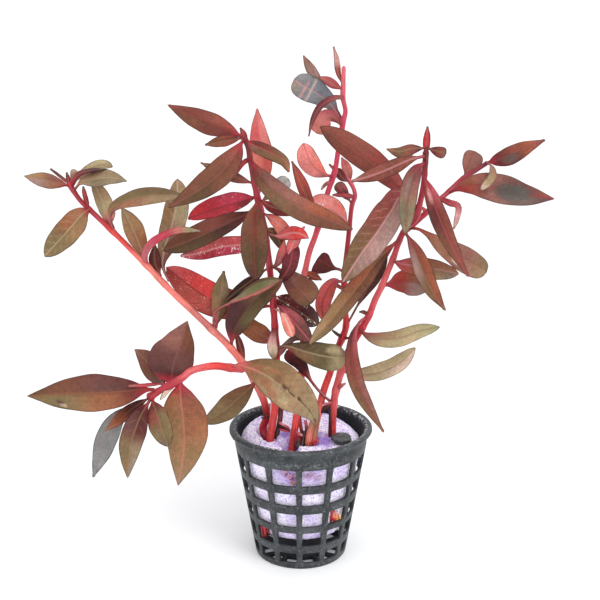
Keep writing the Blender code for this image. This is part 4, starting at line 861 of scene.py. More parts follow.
innerLeftSmall = [
    row([(243, 138, -21), (228, 140, -25), (216, 142.5, -28), (204.5, 145, -30)], 6, 6, -1, -1,
        tones="darkRed redBrown brown brown"),
    row([(246, 141, -21), (243, 133, -21), (240, 127.5, -21)], 3, 3, 0, 0, "bud",
        tones="crimson crimson darkRed"),
    row([(255, 184, -15.5), (240, 179, -17), (220, 171, -18), (200, 162.5, -18)], 6.5, 6, -1, 1,
        tones="rose brown brown mauve"),
    row([(250, 158, -18), (241, 165, -20), (233, 178, -21)], 2.5, 2.5, 0, 0, "strip",
        tones="crimson crimson rose"),
    row([(259, 204, -14), (274, 191, -10), (289, 179, -8)], 8, 8, 0, 0, "blunt", 0.6,
        "brown mauve silver silverLight"),
    row([(259, 199, -14), (270, 206, -18), (284, 210, -20), (302, 212, -20)], 7, 7, 1, -1,
        tones="crimson darkRed darkRed brown"),
    row([(265, 227, -11.5), (277, 237, -14), (281, 249, -15)], 6, 6, 0, 0, "oval",
        tones="redBrown darkOlive darkOlive brown"),
    row([(263, 213, -12.5), (273, 219, -14), (282, 228, -15.5), (288, 240, -16)], 7, 7, 0, 0, "blunt",
        tones="crimson orange orange salmonRed", vein="palePink", veins=0.4, under=True),
    row([(271, 284, -8.5), (280, 280, -12), (288, 270, -15), (291.5, 258, -16.5), (293.5, 243, -17)], 8.5, 8, 1,
        -1, "blunt", 0.55, "maroon wine darkRose wine", vein="rose", veins=0.6, under=True),
    # a maroon leaf in shade: its dark tones are partly painted shade, its grey tip painted sheen
    row([(272, 296, -8), (284, 302, -11), (300, 312, -12), (319, 325, -12)], 12, 12, 0, 0, "oval", 0.5,
        "maroon darkRed maroon greyBrown", paintedGlints=0.8),
    row([(273, 304, -7.5), (282, 308, -14), (291, 318, -16), (300, 329, -17), (311, 342, -17)], 9, 9.5, 0, 0,
        "oval", 0.58, "darkRed rose purpleBrown purpleBrown", vein="pink", veins=0.5),
    row([(273, 308, -7.5), (281, 312, -14), (286, 320, -17.5), (290, 330, -19), (292.5, 337, -19.5)], 5, 5.5, 0,
        0, "blunt", 0.6, "orange pinkLight orange salmon", vein="cream", veins=0.7, under=True),
    row([(276, 343, -6.5), (262, 335, -2), (250, 328, 0), (238, 320, 1)], 9.5, 10, -1, 1, "oval",
        tones="redBrown copper brown"),
    row([(275, 326, -7), (272.5, 343, -12.5), (274, 360, -14.5)], 5, 5.3, 0, 0, "bud", 0.7,
        "crimson palePink cream greyOlive"),
    row([(277, 357, -6.5), (287, 344, -10), (296, 338, -13), (306, 341, -14)], 3, 3, 0, 0, "strip",
        tones="rose greyMauve darkBrown darkBrown"),
    # a leaf behind others: its near black tones are painted shade
    row([(268, 268, -9), (253, 279, -6), (238, 290, -5), (223, 303, -5)], 6, 5, 0, 0,
        tones="maroon blackBrown blackBrown"),
]

tallLeaves = {
    "tall_leaf_1": row([(343, 124, 10), (337, 113, 11), (329, 102, 10), (316, 92.5, 8), (304, 86, 6),
        (294, 79, 5)], 13, 13, 1, -1, "blunt", 0.62, "rose silver blueGrey silverTan",
        "rose blueGrey blueGrey silver", vein="palePink", veins=0.3,
        patches=((0.7, 0.1, 0.012, 1.3, "cream", 0.8), (0.8, 0.3, 0.01, 1.1, "palePink", 0.8))),
    "tall_leaf_2": row([(334, 177, 8), (323, 173.5, 4.5), (311.5, 163, 3), (303, 143, 2)], 11.5, 9, 0, 1,
        "oval", 0.6, "rose pinkLight pinkLight pinkLight", "coral orange pinkLight pinkLight",
        back="redBrown brown olive", vein="coral", veins=0.35, under=True),
}
tallSmall = [
    row([(343.5, 86, 10), (338.5, 74, 11), (336.5, 60, 12), (333.5, 46, 13)], 3, 3.3, 0, 0,
        tones="crimson brick palePink palePink"),
    row([(343.5, 90, 10), (334, 85, 8), (326, 80, 6), (318, 77, 4)], 4.5, 5, -1, 1,
        tones="crimson rose salmonRed"),
    row([(343, 121, 10), (337, 110, 14), (325, 91, 16), (315, 76, 16), (303, 55, 16)], 5.5, 5, 0, 0, "lance",
        0.72, "rose mauve greyMauve mauve"),
    row([(344, 98, 10), (337, 97.5, 6), (329, 100, 2), (319, 108, -1), (312.5, 121, -3), (308.5, 137, -4)], 3,
        3.5, 1, -1, "bud", tones="rose darkRose darkRose mauve"),
    row([(343, 128, 10), (336.5, 120, 8), (330, 116, 6), (323, 121, 5), (317, 134, 5)], 9, 9.5, 0, 0, "blunt",
        0.6, "crimson rose salmon salmon", under=True),
    row([(331.5, 182, 8), (326, 184, 6), (321, 190, 5)], 1.8, 1.8, 0, 0, "strip", tones="pink rose cream"),
    row([(335, 170, 8), (331, 166, 6), (329, 164, 5)], 1.5, 1.5, 0, 0, "bud", tones="pink pink crimson"),
    row([(318, 228, 5), (311.5, 209, 2), (305.5, 194, 0), (299.5, 179, -1), (291.5, 160.5, -2)], 6, 6.5, 0, 0,
        "lance", 0.55, "crimson brick salmonRed brick"),
    row([(304, 271, 1), (312, 275.5, -1), (322, 280, -2)], 4.5, 4, 0, 0, tones="rust brick brick"),
]

centreLeaves = {
    "centre_leaf_1": row([(350, 227, 13), (341, 216, 8), (328, 205.5, 5), (309, 201, 3)], 7, 10.5, -1, 1,
        "oval", 0.58, "rose salmon pinkLight salmon", "salmon orange pinkLight orange",
        back="brown brown olive", vein="palePink", veins=0.25, under=True, paintedGlints=0.7),
    "centre_leaf_2": row([(345, 272, 8.5), (338, 269, 4), (329, 265.5, 2), (317.5, 258, 1)], 15, 9, -1, 1,
        "blunt", 0.76, "rose wine wine darkRed", "mauve wine darkRed wine", vein="redBrown", veins=0.15),
    "centre_leaf_3": row([(344, 282, 7), (334, 282, 1), (325, 295, -3), (322, 309, -4), (324, 321, -4)], 8.5,
        7.5, 0, 0, "oval", 0.52, "crimsonRed salmonRed coral coral", "coral coral coral orange",
        back="brown brown olive", vein="crimson", veins=0.5, under=True),
}
centreSmall = [
    row([(350, 184, 14), (347, 170, 15), (341.5, 157, 16)], 5, 5.5, 0, 0, tones="rose salmon coral"),
    row([(349, 182, 14), (342, 177, 11), (336.5, 168.5, 10)], 4.5, 4.5, 0, 0, "blunt",
        tones="darkRose darkRose darkRed"),
    row([(352, 204, 14), (344, 192.5, 10), (337, 182.5, 8)], 6, 5.5, 0, 0, "blunt", 0.6,
        "crimson darkRose rose mauve"),
    row([(354, 197, 14), (343, 195, 8), (332, 195, 6)], 2.5, 2.5, 0, 0, "strip", tones="crimson crimson rose"),
    row([(346, 327, 1), (354.5, 311, 1), (363, 296, 1), (371.5, 281.5, 1), (380, 267, 1), (388, 253, 2)], 6.5,
        7, 0, 0, "lance", 0.7, "crimson wine darkBrown darkBrown", stalk="pink"),
    row([(342, 338, 0), (348, 338, -2), (350, 337, -2)], 1.5, 1.5, 0, 0, "bud", tones="crimson crimson rose"),
    row([(342, 337, 0), (337, 334, -3), (332, 330, -5)], 1.6, 1.6, 0, 0, "strip",
        tones="maroon maroon darkBrown"),
]

rightLeaves = {
    "right_leaf_1": row([(488, 162.5, 6), (505, 157, 2), (522, 149, -1), (546, 139.5, -4)], 8.5, 10, 1, -1,
        "lance", 0.37, "darkRose redBrown rust mauve", "darkRose purpleBrown rust redBrown", vein="rose",
        patches=((0.36, -0.35, 0.14, 0.45, "greyBrown", 0.8),)),
    "right_leaf_2": row([(450, 192.5, 1), (462, 187.5, -5), (477, 185, -8), (497, 188.5, -9), (522, 194.5, -11),
        (555, 199, -12)], 15, 14.5, 2, -3, "lance", 0.48, "rust mauve purpleBrown redBrown",
        "brickRed mauve greyBrown purpleBrown", vein="crimson", veins=0.2,
        patches=((0.6, -0.1, 0.17, 0.62, "slate", 0.9), (0.68, 0.3, 0.1, 0.4, "slate", 0.7),)),
    "right_leaf_3": row([(404, 230, -5), (408.5, 238, -9), (414.3, 250, -13), (422.5, 270, -16),
        (431.5, 290, -18), (446, 311.5, -19)], 10, 8.5, -1, -1, "lance", 0.5, "rose rust rust redBrown",
        "rose greyMauve oliveBrown brown", vein="khaki", veins=0.2),
    "right_leaf_4": row([(407, 228, -4.5), (418, 229, -9), (428, 234.5, -12), (441, 244, -14), (456, 254, -15),
        (471, 263.5, -16), (487, 272, -16)], 12.5, 13, 1, -1, "blunt", 0.64, "crimsonRed tan mauve moss",
        "salmonRed tan mauve khaki", vein="tan", veins=0.3, patches=((0.66, -0.5, 0.06, 0.2, "cream", 0.9),)),
    "right_leaf_5": row([(391, 260, -5), (403, 264.5, -8), (418, 266.5, -9), (438, 270, -10), (459, 274, -10)],
        10, 10.5, 1, -2, "oval", 0.5, "pink rust tan tan", "coral rust khaki silverTan", vein="palePink",
        veins=0.25),
    "right_leaf_6": row([(380, 286, -5), (392, 284, -4), (405, 281.5, -4), (418, 283, -5), (431, 287, -6)], 13,
        13.5, 1, -1, "oval", 0.6, "rose brickRed tan khaki", "crimson brick greyMauve silverTan",
        back="brown oliveBrown olive", vein="crimson", veins=0.25, under=True),
    "right_leaf_7": row([(358, 328, -6), (367, 335.5, -10), (382, 339.5, -12), (400, 338, -14), (420, 331, -15),
        (440, 327, -16)], 8.5, 8.5, 2, -3, "oval", 0.5, "rose khaki paleKhaki paleGreen",
        "mauve paleKhaki paleKhaki paleGreen", vein="greyOlive", veins=0.3),
    "right_leaf_8": row([(341, 371, -7), (365, 374.5, -5), (385, 370.5, -4), (401.5, 361.5, -3),
        (415.5, 347.5, -1)], 9.5, 8.5, 2, -2, "oval", 0.53, "khaki paleKhaki paleKhaki paleKhaki",
        "salmon paleKhaki cream cream", vein="greyOlive", veins=0.3),
    "right_leaf_9": row([(366, 317, -5), (359, 323, -10), (353, 337, -15), (352, 357, -18), (356, 380, -20),
        (366, 403, -21), (384.5, 433.5, -21)], 8, 8, -1, -1, "lance", 0.5, "pink redBrown mauve moss",
        "wine chestnut oliveBrown mauve", vein="rose", veins=0.2, stalk="pink"),
    "right_leaf_10": row([(399.5, 238.5, -5.5), (391, 247, -9.5), (377, 261.5, -12), (361, 283, -15),
        (346, 301.5, -17), (330, 322, -18), (309, 344.5, -20)], 9, 10.5, -1, 1, "oval", 0.48,
        "darkBrown brown oliveBrown moss", "brown rust ochre khaki", vein="ochre", veins=0.25),
    # the pale pink at the base of its right half is a painted highlight on the glossy stalk
    "right_leaf_11": row([(332.5, 403, -6), (323, 395, -12), (313, 383.5, -13), (304.5, 371, -13),
        (297, 360, -12), (286, 351, -11)], 8, 9, 0, 0, "blunt", 0.8,
        "crimson crimsonRed crimsonRed maroon maroon darkRed", "palePink palePink orange maroon maroon crimson",
        vein="darkRed", stalk="pink"),
}
rightSmall = [
    row([(464, 177, 4), (469, 165, 7), (475, 151, 9)], 9, 11, 0, 0, "blunt", 0.58, "redBrown mauve mauve",
        vein="rose"),
    row([(486, 162, 6), (491.5, 167, -7), (491.5, 177, -14.5), (480.5, 190, -17.5)], 4.5, 4, 0, 0, "oval", 0.65,
        "pink tan khaki cream"),
    row([(440, 198.5, 0), (450, 203, -3), (458, 206, -5), (457.5, 216, -6), (453.5, 229.5, -7)], 3.2, 3.2, 0, 0,
        "strip", tones="crimson pink palePink cream"),
    row([(426, 212.5, -2), (422.5, 207, -4)], 2, 2, 0, 0, "bud", tones="crimson coral rose"),
    row([(368, 314, -5), (363, 312, -7), (359, 312, -8)], 2, 2, 0, 0, "bud", tones="darkRed darkRose maroon"),
    row([(335, 390, -6.5), (341, 386, -9), (346, 383, -10)], 2.2, 2.2, 0, 0, "bud",
        tones="rose coral palePink"),
]

rightInnerLeaves = {
    "right_inner_leaf_1": row([(425, 156, -19), (412, 159, -26), (402, 163, -28), (389, 169, -29.5),
        (371, 176, -30.5), (351, 181.5, -30)], 8, 8.5, -1, 1, "lance", 0.52,
        "redBrown chestnut chestnut redBrown", "redBrown chestnut redBrown mauve", vein="palePink", veins=0.2),
    "right_inner_leaf_2": row([(417, 208, -13.5), (401, 189.5, -12), (382, 171, -11), (354, 149.5, -9),
        (320, 126.5, -6)], 12.5, 13.5, 0, 1, "oval", 0.56, "coral chestnut chestnut brown",
        "salmon brick redBrown redBrown", vein="brick", veins=0.25),
    # its grey-green tones and silverGreen patch are painted sheen
    "right_inner_leaf_3": row([(424.5, 162, -18.5), (417, 169.5, -26), (410.5, 184, -27.5), (407.5, 201, -28),
        (406.5, 217, -27), (405, 234, -25)], 9, 9, -1, -1, "oval", 0.45, "darkRose mauve greyOlive greyOlive",
        "darkRose mauve greyGreen greyOlive", vein="mauve", veins=0.15,
        patches=((0.4, -0.2, 0.16, 0.25, "silverGreen", 0.6),)),
    # its palePink patch near the stalk is painted sheen
    "right_inner_leaf_4": row([(423, 174, -17.5), (431, 195, -23), (439, 217, -25), (449, 240, -26),
        (459, 260, -25), (469, 278, -24)], 9, 9.5, -1, -1, "lance", 0.42, "pink chestnut redBrown redBrown",
        "brick wine brown brown", vein="pink", veins=0.2, patches=((0.2, -0.2, 0.08, 0.3, "palePink", 0.6),)),
    # the grey of its left half is painted sheen
    "right_inner_leaf_5": row([(416, 213, -13), (403, 196, -17), (391, 211, -20), (378, 231, -22),
        (361, 254, -23), (342, 283, -23)], 16, 16, -1, -1, "oval", 0.46, "mauve greyMauve greyMauve olive",
        "rose redBrown oliveBrown oliveBrown", vein="palePink", veins=0.45),
}
rightInnerSmall = [
    row([(426, 152, -20), (427, 137, -20), (427.5, 126, -20)], 3.8, 3.6, 0, 0, "bud",
        tones="crimson crimsonRed crimson rose"),
    row([(426, 148, -20), (412, 148.5, -21.5), (400, 151.5, -22), (386, 149, -22)], 7.5, 5, -1, 1,
        tones="maroon redBrown oliveBrown rust"),
    row([(426, 148, -20), (436, 150.5, -24), (446.5, 153, -27)], 5, 6.5, 0, 0, "blunt", 0.6,
        "darkRed darkRose redBrown mauve"),
]

# small bits that lie close over the leaves and stems
fragments = [
    row([(160, 384, -26), (145, 385.5, -29.5), (128, 386, -32)], 1.5, 2.2, 0, 0, "strip",
        tones="crimson cherry salmon"),
    row([(267, 233, -12), (279, 236, -16), (290, 233, -18), (300, 233.5, -19), (309, 238.5, -19)], 7, 7.5, 0, 0,
        "lance", 0.62, "rose coral flame flame", vein="palePink", veins=0.4, under=True),
    row([(270, 268, -10), (277, 264, -13.5), (282, 252, -16), (284.5, 238, -17)], 4.5, 4.5, 0, 0, "lance", 0.5,
        "maroon rose coral salmonRed", under=True),
    row([(332, 283, 2), (338, 286, 3), (345, 290, 5)], 2, 2, 0, 0, "strip", tones="crimson crimson rose"),
    row([(286, 262, -14), (291, 248, -17), (297, 236, -18), (305, 226, -18)], 6, 6, 0, 0, "lance", 0.5,
        "rose coral salmon salmon", vein="palePink", veins=0.4, under=True),
]

# the slot of each leaf that isn't leaf_olive
slotLeaves = {
    "leaf_brown": "left_leaf_3 low_left_leaf_3 low_left_leaf_4 low_left_leaf_5 low_left_leaf_6 inner_left_leaf_2 "
                  "inner_left_leaf_4 inner_left_leaf_5 inner_left_leaf_8 centre_leaf_2 right_leaf_2 right_leaf_3 "
                  "right_leaf_5 right_leaf_9 right_inner_leaf_1 right_inner_leaf_2 right_inner_leaf_4 "
                  "right_inner_leaf_5",
    "leaf_red": "inner_left_leaf_1 inner_left_leaf_7 inner_left_leaf_9 inner_left_leaf_11 centre_leaf_3 "
                "right_leaf_1 right_leaf_6 right_leaf_11",
    "leaf_pink": "inner_left_leaf_3 tall_leaf_2 centre_leaf_1",
}
leafSlots = {name: slotName for slotName, names in slotLeaves.items() for name in names.split()}

groups = {
    "left_stem": (leftLeaves, leftSmall), "low_left_branch": (lowLeftLeaves, lowLeftSmall),
    "inner_left_stem": (innerLeftLeaves, innerLeftSmall), "tall_stem": (tallLeaves, tallSmall),
    "centre_stem": (centreLeaves, centreSmall), "right_stem": (rightLeaves, rightSmall),
    "right_inner_branch": (rightInnerLeaves, rightInnerSmall),
}
lineStops = 80                                  # how finely a stem is searched for its knots


def buildStem(name, big, small):
    s = stems[name]
    path = [seen(*curveAt(s["line"], i / lineStops)[0]) for i in range(lineStops + 1)]
    knots = []
    for r in [*big.values(), *small]:
        start = seen(*r["line"][0])
        knots.append(min(range(lineStops + 1), key=lambda i: (path[i] - start).length) / lineStops)
    skin = tubeParts(s["line"], s["thick"], s["thin"], s["tones"], sorted(set(knots)), seed=len(name))
    tubePiece(name + "_skin", [skin], (name,))
    smallParts = [leafParts(r, i * 2.1 + 3, True) for i, r in enumerate(small)]
    leafPiece(name + "_small_leaves", smallParts, "leaf_brown", (name,))
    buildLeaves(big)


for stemName, (big, small) in groups.items():
    buildStem(stemName, big, small)
leafPiece("loose_fragments", [leafParts(r, i * 1.7 + 5, True) for i, r in enumerate(fragments)], "leaf_red")
print("stems and leaves built")

# net pot
pot = {
    "foot": 16.75, "band": 23.78, "bandBottom": 41.4, "wall": 1.2, "floor": 1.2, "rib": 2.1, "sectors": 13,
    "turn": math.radians(-1.5), "corner": 0.55, "round": 0.18, "lowCell": 1.2, "topCell": 43.0,
    "rows": ((2.4, 6.6), (9.6, 15.2), (17.7, 23.2), (26.5, 31.5), (34.5, 41.0)),
    "slots": (10.5, 15.0), "slotRing": (9.8, 15.5),
    "lip": ((24.05, 44.6), (24.2, 46.0), (24.45, 46.8), (25.1, 47.25), (25.75, 47.5), (26.0, 47.85), (26.0, 48.3),
            (25.8, 48.62), (25.4, 48.8), (24.7, 48.84), (24.1, 48.74), (23.62, 48.5), (23.3, 48.0),
            (23.15, 47.0), (23.0, 45.2)),
    "footEdge": ((16.62, 0.12), (16.35, 0.0)),
    # flash and nicks on the lip: turn from the front (degrees, right is positive), half span, how far
    # out, how far in
    "marks": [(-64, 9, 0.75, 0.0), (-78, 4, 0.35, 0.0), (52, 16, 0.0, 0.55), (74, 10, 0.0, 0.45),
              (-20, 12, 0.0, 0.3)],
    "ridges": (-52, -12),                       # two low ridges along the front left of the lip, from and to
}
halfSector = math.pi / pot["sectors"]
sideSteps = (-1, -0.95, -0.9, -0.45, 0, 0.45, 0.9, 0.95)
cornerTurns = {-1: 45, -0.95: 67.5, -0.9: 90, 0.9: 90, 0.95: 67.5}


def potRadius(z):
    return pot["foot"] + (pot["band"] - pot["foot"]) * z / pot["bandBottom"]


def holeSide(halfWide, halfHigh, corner):
    # one side of a round-cornered hole, left to right, point for point with a square cell of the same steps
    points = []
    for step in sideSteps:
        if abs(step) >= 0.9:
            a = math.radians(cornerTurns[step])
            x = halfWide - corner + corner * math.cos(a)
            y = -(halfHigh - corner + corner * math.sin(a))
            points.append((x if step > 0 else -x, y))
        else:
            points.append(((halfWide - corner) * step / 0.9, -halfHigh))
    return points


def fourSides(bottom, side):
    # the sides in turn: bottom, right, top, left
    half = bottom + [(-y, x) for x, y in side]
    return half + [(-x, -y) for x, y in half]


def addCell(points, faces, shape, halfAngle, window, cell, radiusAt):
    # shape(turn, height, depth) places a point; the hole goes through the wall from depth 0 to 1
    (low, high), (cellLow, cellHigh) = window, cell
    middle, halfHigh = (low + high) / 2, (high - low) / 2
    edge = pot["round"]
    wide = radiusAt(middle) * halfAngle
    flatSide = [(s, -1) for s in sideSteps]
    square = fourSides(flatSide, flatSide)

    def cellLoop(depth):
        return [shape(x * halfSector, cellLow + (cellHigh - cellLow) * (y + 1) / 2, depth) for x, y in square]

    def hole(grow, depth):
        halfWide, tall, corner = wide + grow, halfHigh + grow, pot["corner"] + grow
        ring = fourSides(holeSide(halfWide, tall, corner), holeSide(tall, halfWide, corner))
        return [shape(x / radiusAt(middle + y), middle + y, depth) for x, y in ring]

    loops = [cellLoop(0.0)]
    loops += [hole(edge * share, depth) for share, depth in
              ((1, 0.0), (0.3, 0.05), (0, 0.16), (0, 0.84), (0.3, 0.95), (1, 1.0))]
    loops.append(cellLoop(1.0))
    base = len(points)
    for loop in loops:
        points += loop
    faces += ringFaces(len(loops), len(square), base)


def potEdge(isRim, i, count, r, z, turn):
    # a point of the rim, the foot or the floor; the lip gets its flash, nicks and ridges
    if isRim and 0 < i < count - 1:
        degrees = math.degrees(turn)
        degrees = degrees - 360 if degrees > 180 else degrees
        for centre, span, out, inward in pot["marks"]:
            share = max(0.0, 1 - ((degrees - centre) / span) ** 2)
            ragged = 0.6 + 0.4 * noise.noise(Vector((degrees * 0.35, z, 1.7)))
            if 4 <= i <= 8:
                r += out * share * ragged
            if 10 <= i <= 13:
                r -= inward * share * (0.4 + 1.2 * abs(noise.noise(Vector((degrees * 0.55, 3.1, 0.2)))))
                z += inward * share * 0.25 * noise.noise(Vector((degrees * 0.7, 9.0, 0.2)))
        start, end = pot["ridges"]
        if 8 <= i <= 11 and start < degrees < end:
            z += (0.14 if i % 2 else -0.1) * min(1, (degrees - start) / 8, (end - degrees) / 8)
    return around(r, turn, z)


def potSpaceAt(p):
    # how far inside the wall the point is, how brightly the lip glints and how dark the worn spot is, from 0 to 1
    out = math.hypot(p.x, p.y)
    inside = (potRadius(min(p.z, pot["topCell"])) - out) / pot["wall"]
    if p.z > pot["topCell"]:
        inside = (24.3 - out) / 1.1
    if p.z < 1.6 and out < pot["slots"][1]:
        inside = 1.0
    turn = math.degrees(math.atan2(p.x, -p.y))
    lip = max(0.0, 1.25 - abs(out - 23.7) / 0.7) if p.z > 47.9 else 0.0
    band = 0.35 * max(0.0, 1 - abs(p.z - 43.6) / 0.8) if out > 23.4 else 0.0
    lip = max(lip, band)
    if p.z > 48.2 and -34 < turn < -4:
        lip = max(lip, 1.1 - abs(out - 24.3) / 0.45)
    lip *= 0.4 if turn < -36 else 1.0
    spot = max(0.0, 1.3 - math.hypot((turn + 9.6) / 3.2, (p.z - 46.3) / 0.75)) if out > 23.9 else 0.0
    return unit(inside), lip, min(spot * 1.5, 1.0)


def netPot():
    points, faces = [], []
    wall, top, low = pot["wall"], pot["topCell"], pot["lowCell"]
    bounds = [low, *((high + above) / 2 for (_, high), (above, _) in zip(pot["rows"], pot["rows"][1:])), top]
    for k in range(pot["sectors"]):
        centre = pot["turn"] + halfSector * (2 * k + 1)

        def wallShape(turn, z, depth, centre=centre):
            return around(potRadius(z) - wall * depth, centre + turn, z)

        def floorShape(turn, r, depth, centre=centre):
            return around(r, centre + turn, pot["floor"] * depth)

        for window, cell in zip(pot["rows"], zip(bounds, bounds[1:])):
            half = halfSector - pot["rib"] / 2 / potRadius(sum(window) / 2)
            addCell(points, faces, wallShape, half, window, cell, potRadius)
        half = halfSector - pot["rib"] / 2 / (sum(pot["slots"]) / 2)
        addCell(points, faces, floorShape, half, pot["slots"], pot["slotRing"], lambda r: r)
    # rings that close the rim, the foot and the floor's middle, at the cells' own turns
    turns = [pot["turn"] + halfSector * (2 * k + 1 + s) for k in range(pot["sectors"]) for s in sideSteps]
    innerEdge, outerEdge = pot["slotRing"]
    rim = [(potRadius(top), top), *pot["lip"], (potRadius(top) - wall, top)]
    foot = [(potRadius(low), low), (potRadius(0.4), 0.4), *pot["footEdge"], (outerEdge, 0.0)]
    inner = [(outerEdge, pot["floor"]), (potRadius(low) - wall, low)]
    for profile in (rim, foot, inner):
        base = len(points)
        for i, (r, z) in enumerate(profile):
            points += [potEdge(profile is rim, i, len(profile), r, z, turn) for turn in turns]
        faces += ringFaces(len(profile), len(turns), base)
    for z in (0.0, pot["floor"]):
        base = len(points)
        points += [around(innerEdge, turn, z) for turn in turns]
        points.append(Vector((0, 0, z)))
        faces += [(base + j, base + (j + 1) % len(turns), base + len(turns)) for j in range(len(turns))]
    made = buildPiece("net_pot_moulding", [p * mm for p in points], faces, "pot_black")
    work = bmesh.new()
    work.from_mesh(made.data)
    bmesh.ops.remove_doubles(work, verts=work.verts, dist=0.00002)
    bmesh.ops.recalc_face_normals(work, faces=work.faces)
    work.to_mesh(made.data)
    work.free()
    made.data.shade_smooth()
    made.data.set_sharp_from_angle(angle=math.radians(50))
    setLayer(made.data, "potSpace", [potSpaceAt(v.co / mm) for v in made.data.vertices])
    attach(made, "root")
    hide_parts("net_pot")


netPot()
print("pot built")

# foam
foam = {
    "bottom": 10.9, "top": 47.6, "lean": (-0.05, 0.04), "gap": 0.6, "columns": 200,
    "lump": 0.35, "lumpScale": 0.55, "fineLump": 0.16, "fineScale": 1.9, "lipRadius": 18.9,
    # hollows in the top: from, to, half width, depth and softness, in mm
    "hollows": [
        ((-13.6, -3.0), (-10.6, -9.6), 2.2, 5.0, 1.2), ((-2.4, -11.6), (3.4, -11.4), 2.6, 8.0, 1.2),
        ((11.4, -4.9), (12.2, -4.9), 1.9, 5.0, 1.0), ((-4.6, -12.5), (-2.0, -21.5), 2.4, 8.5, 1.2),
        ((4.6, -9.5), (6.0, -3.5), 1.5, 7.0, 1.0), ((-4.5, -2.5), (-1.2, -6.5), 1.2, 5.0, 0.9)],
    # painted shade and real stains on the side: turn from the front (degrees, right is positive), height,
    # the half span of each, strength
    "shades": [(-13, 38, 16, 4.6, 0.62), (12, 37.5, 15, 4.4, 0.5), (42, 38, 9, 4, 0.4), (-4, 29, 8, 2.6, 0.25),
               (-11, 20.5, 9, 3.0, 0.45), (12, 20.5, 10, 3.2, 0.4), (-14, 13, 30, 3.0, 0.35),
               (22, 12.5, 30, 2.6, 0.4)],
    "stains": [(-10, 38.6, 9, 2.6, 0.9), (-7, 36.2, 5, 3.0, 1.0), (-17, 39.6, 7, 1.6, 0.5),
               (8, 38.4, 9, 1.8, 0.7), (16, 37.0, 7, 1.8, 0.5), (-43, 13.4, 8, 3, 0.6), (35, 20.5, 7, 2.4, 0.4)],
    # painted purple shade on the top: across, back, half width, half depth, strength
    "topShades": [(8.6, -10.0, 3.4, 6.5, 1.9), (-5.4, -6.0, 3.6, 6.0, 1.5), (1.6, -8.0, 3.6, 5.5, 1.4),
                  (-7.5, -13.5, 4.0, 3.5, 0.5)],
}


def foamRadius(z):
    return potRadius(z) - pot["wall"] - foam["gap"]


def hollowAt(x, y):
    deep = 0.0
    for a, b, half, depth, soft in foam["hollows"]:
        a, b, p = Vector(a), Vector(b), Vector((x, y))
        along = b - a
        s = unit((p - a).dot(along) / max(along.length_squared, 1e-6))
        share = unit(0.5 - ((p - a - along * s).length - half) / soft)
        deep = max(deep, depth * share * share * (3 - 2 * share))
    return deep


def spotShare(spot, degrees, z):
    turn, height, span, tall, strength = spot
    far = math.hypot((degrees - turn) / span, (z - height) / tall)
    return strength * unit((1.1 - far) / 0.6)


def topShare(spot, x, y):
    cx, cy, wide, long, strength = spot
    return max(0, 1 - math.hypot((x - cx) / wide, (y - cy) / long)) * strength


def foamRings():
    # radius, height and share of the top's unevenness, from the underside up and in to the middle
    bottom, edge = foam["bottom"], foamRadius(42.0)
    rings = [(14.8, bottom, 0), (15.8, bottom + 0.4, 0), (16.2, bottom + 1.2, 0)]
    rings += [(foamRadius(z) - 0.2, z, 0) for z in np.linspace(13.0, 41.0, 40)]
    rings += [(edge - 0.3, 42.6, 0.4), (edge - 0.6, 44.0, 0.8), (20.2, 45.4, 1), (19.4, 46.2, 1), (18.6, 46.8, 1)]
    rings += [(r, foam["top"] - 0.03 * max(0, r - 12) ** 2 * 0.45, 1) for r in np.linspace(18.0, 0.6, 40)]
    return rings


def foamRoll():
    rings = foamRings()
    points, space = [], []
    for r, z, share in rings:
        onSide = share == 0 or r > foam["lipRadius"]
        for j in range(foam["columns"]):
            turn = 2 * math.pi * j / foam["columns"]
            x, y = r * math.sin(turn), -r * math.cos(turn)
            lump = noise.noise(Vector((x, y, z)) * foam["lumpScale"]) * foam["lump"]
            lump += noise.noise(Vector((x, y, z)) * foam["fineScale"]) * foam["fineLump"]
            grow = 1 + (min(lump, 0.2) - 0.1) / max(r, 4.0) * (1 - share)
            deep = hollowAt(x, y) * share
            up = z + share * (foam["lean"][0] * x + foam["lean"][1] * y + lump) - deep
            points.append(Vector((x * grow, y * grow, up)) * mm)
            degrees = math.degrees(turn if turn < math.pi else turn - 2 * math.pi)
            # painted shade: darker the deeper the hollow, and in the shade spots on the side and the top
            shade, stain = min(deep / 6, 1), 0
            if onSide:
                shade = max([shade] + [spotShare(spot, degrees, up) for spot in foam["shades"]])
                stain = max(spotShare(spot, degrees, up) for spot in foam["stains"])
            if share > 0:
                shade = max([shade] + [topShare(spot, x, y) for spot in foam["topShades"]])
            # paler towards the bottom and on the left side
            paleLowerLeft = unit(max((40 - z) / 14, (-20 - degrees) / 10)) * (1 - share)
            space.append((shade, stain, paleLowerLeft))
    faces = cappedFaces(len(rings), foam["columns"])
    made = buildPiece("foam_roll_body", points, faces, "foam_lilac", None, {"foamSpace": space})
    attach(made, "root")
    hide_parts("foam_roll")


foamRoll()

# stone chip
stone = {"centre": (14.4, -10.8, 47.85), "size": (3.5, 3.0, 1.95), "lump": 0.16, "lumpScale": 1.9,
         "fineLump": 0.05, "fineScale": 6, "squareness": 0.8, "rings": 18, "perRing": 28}


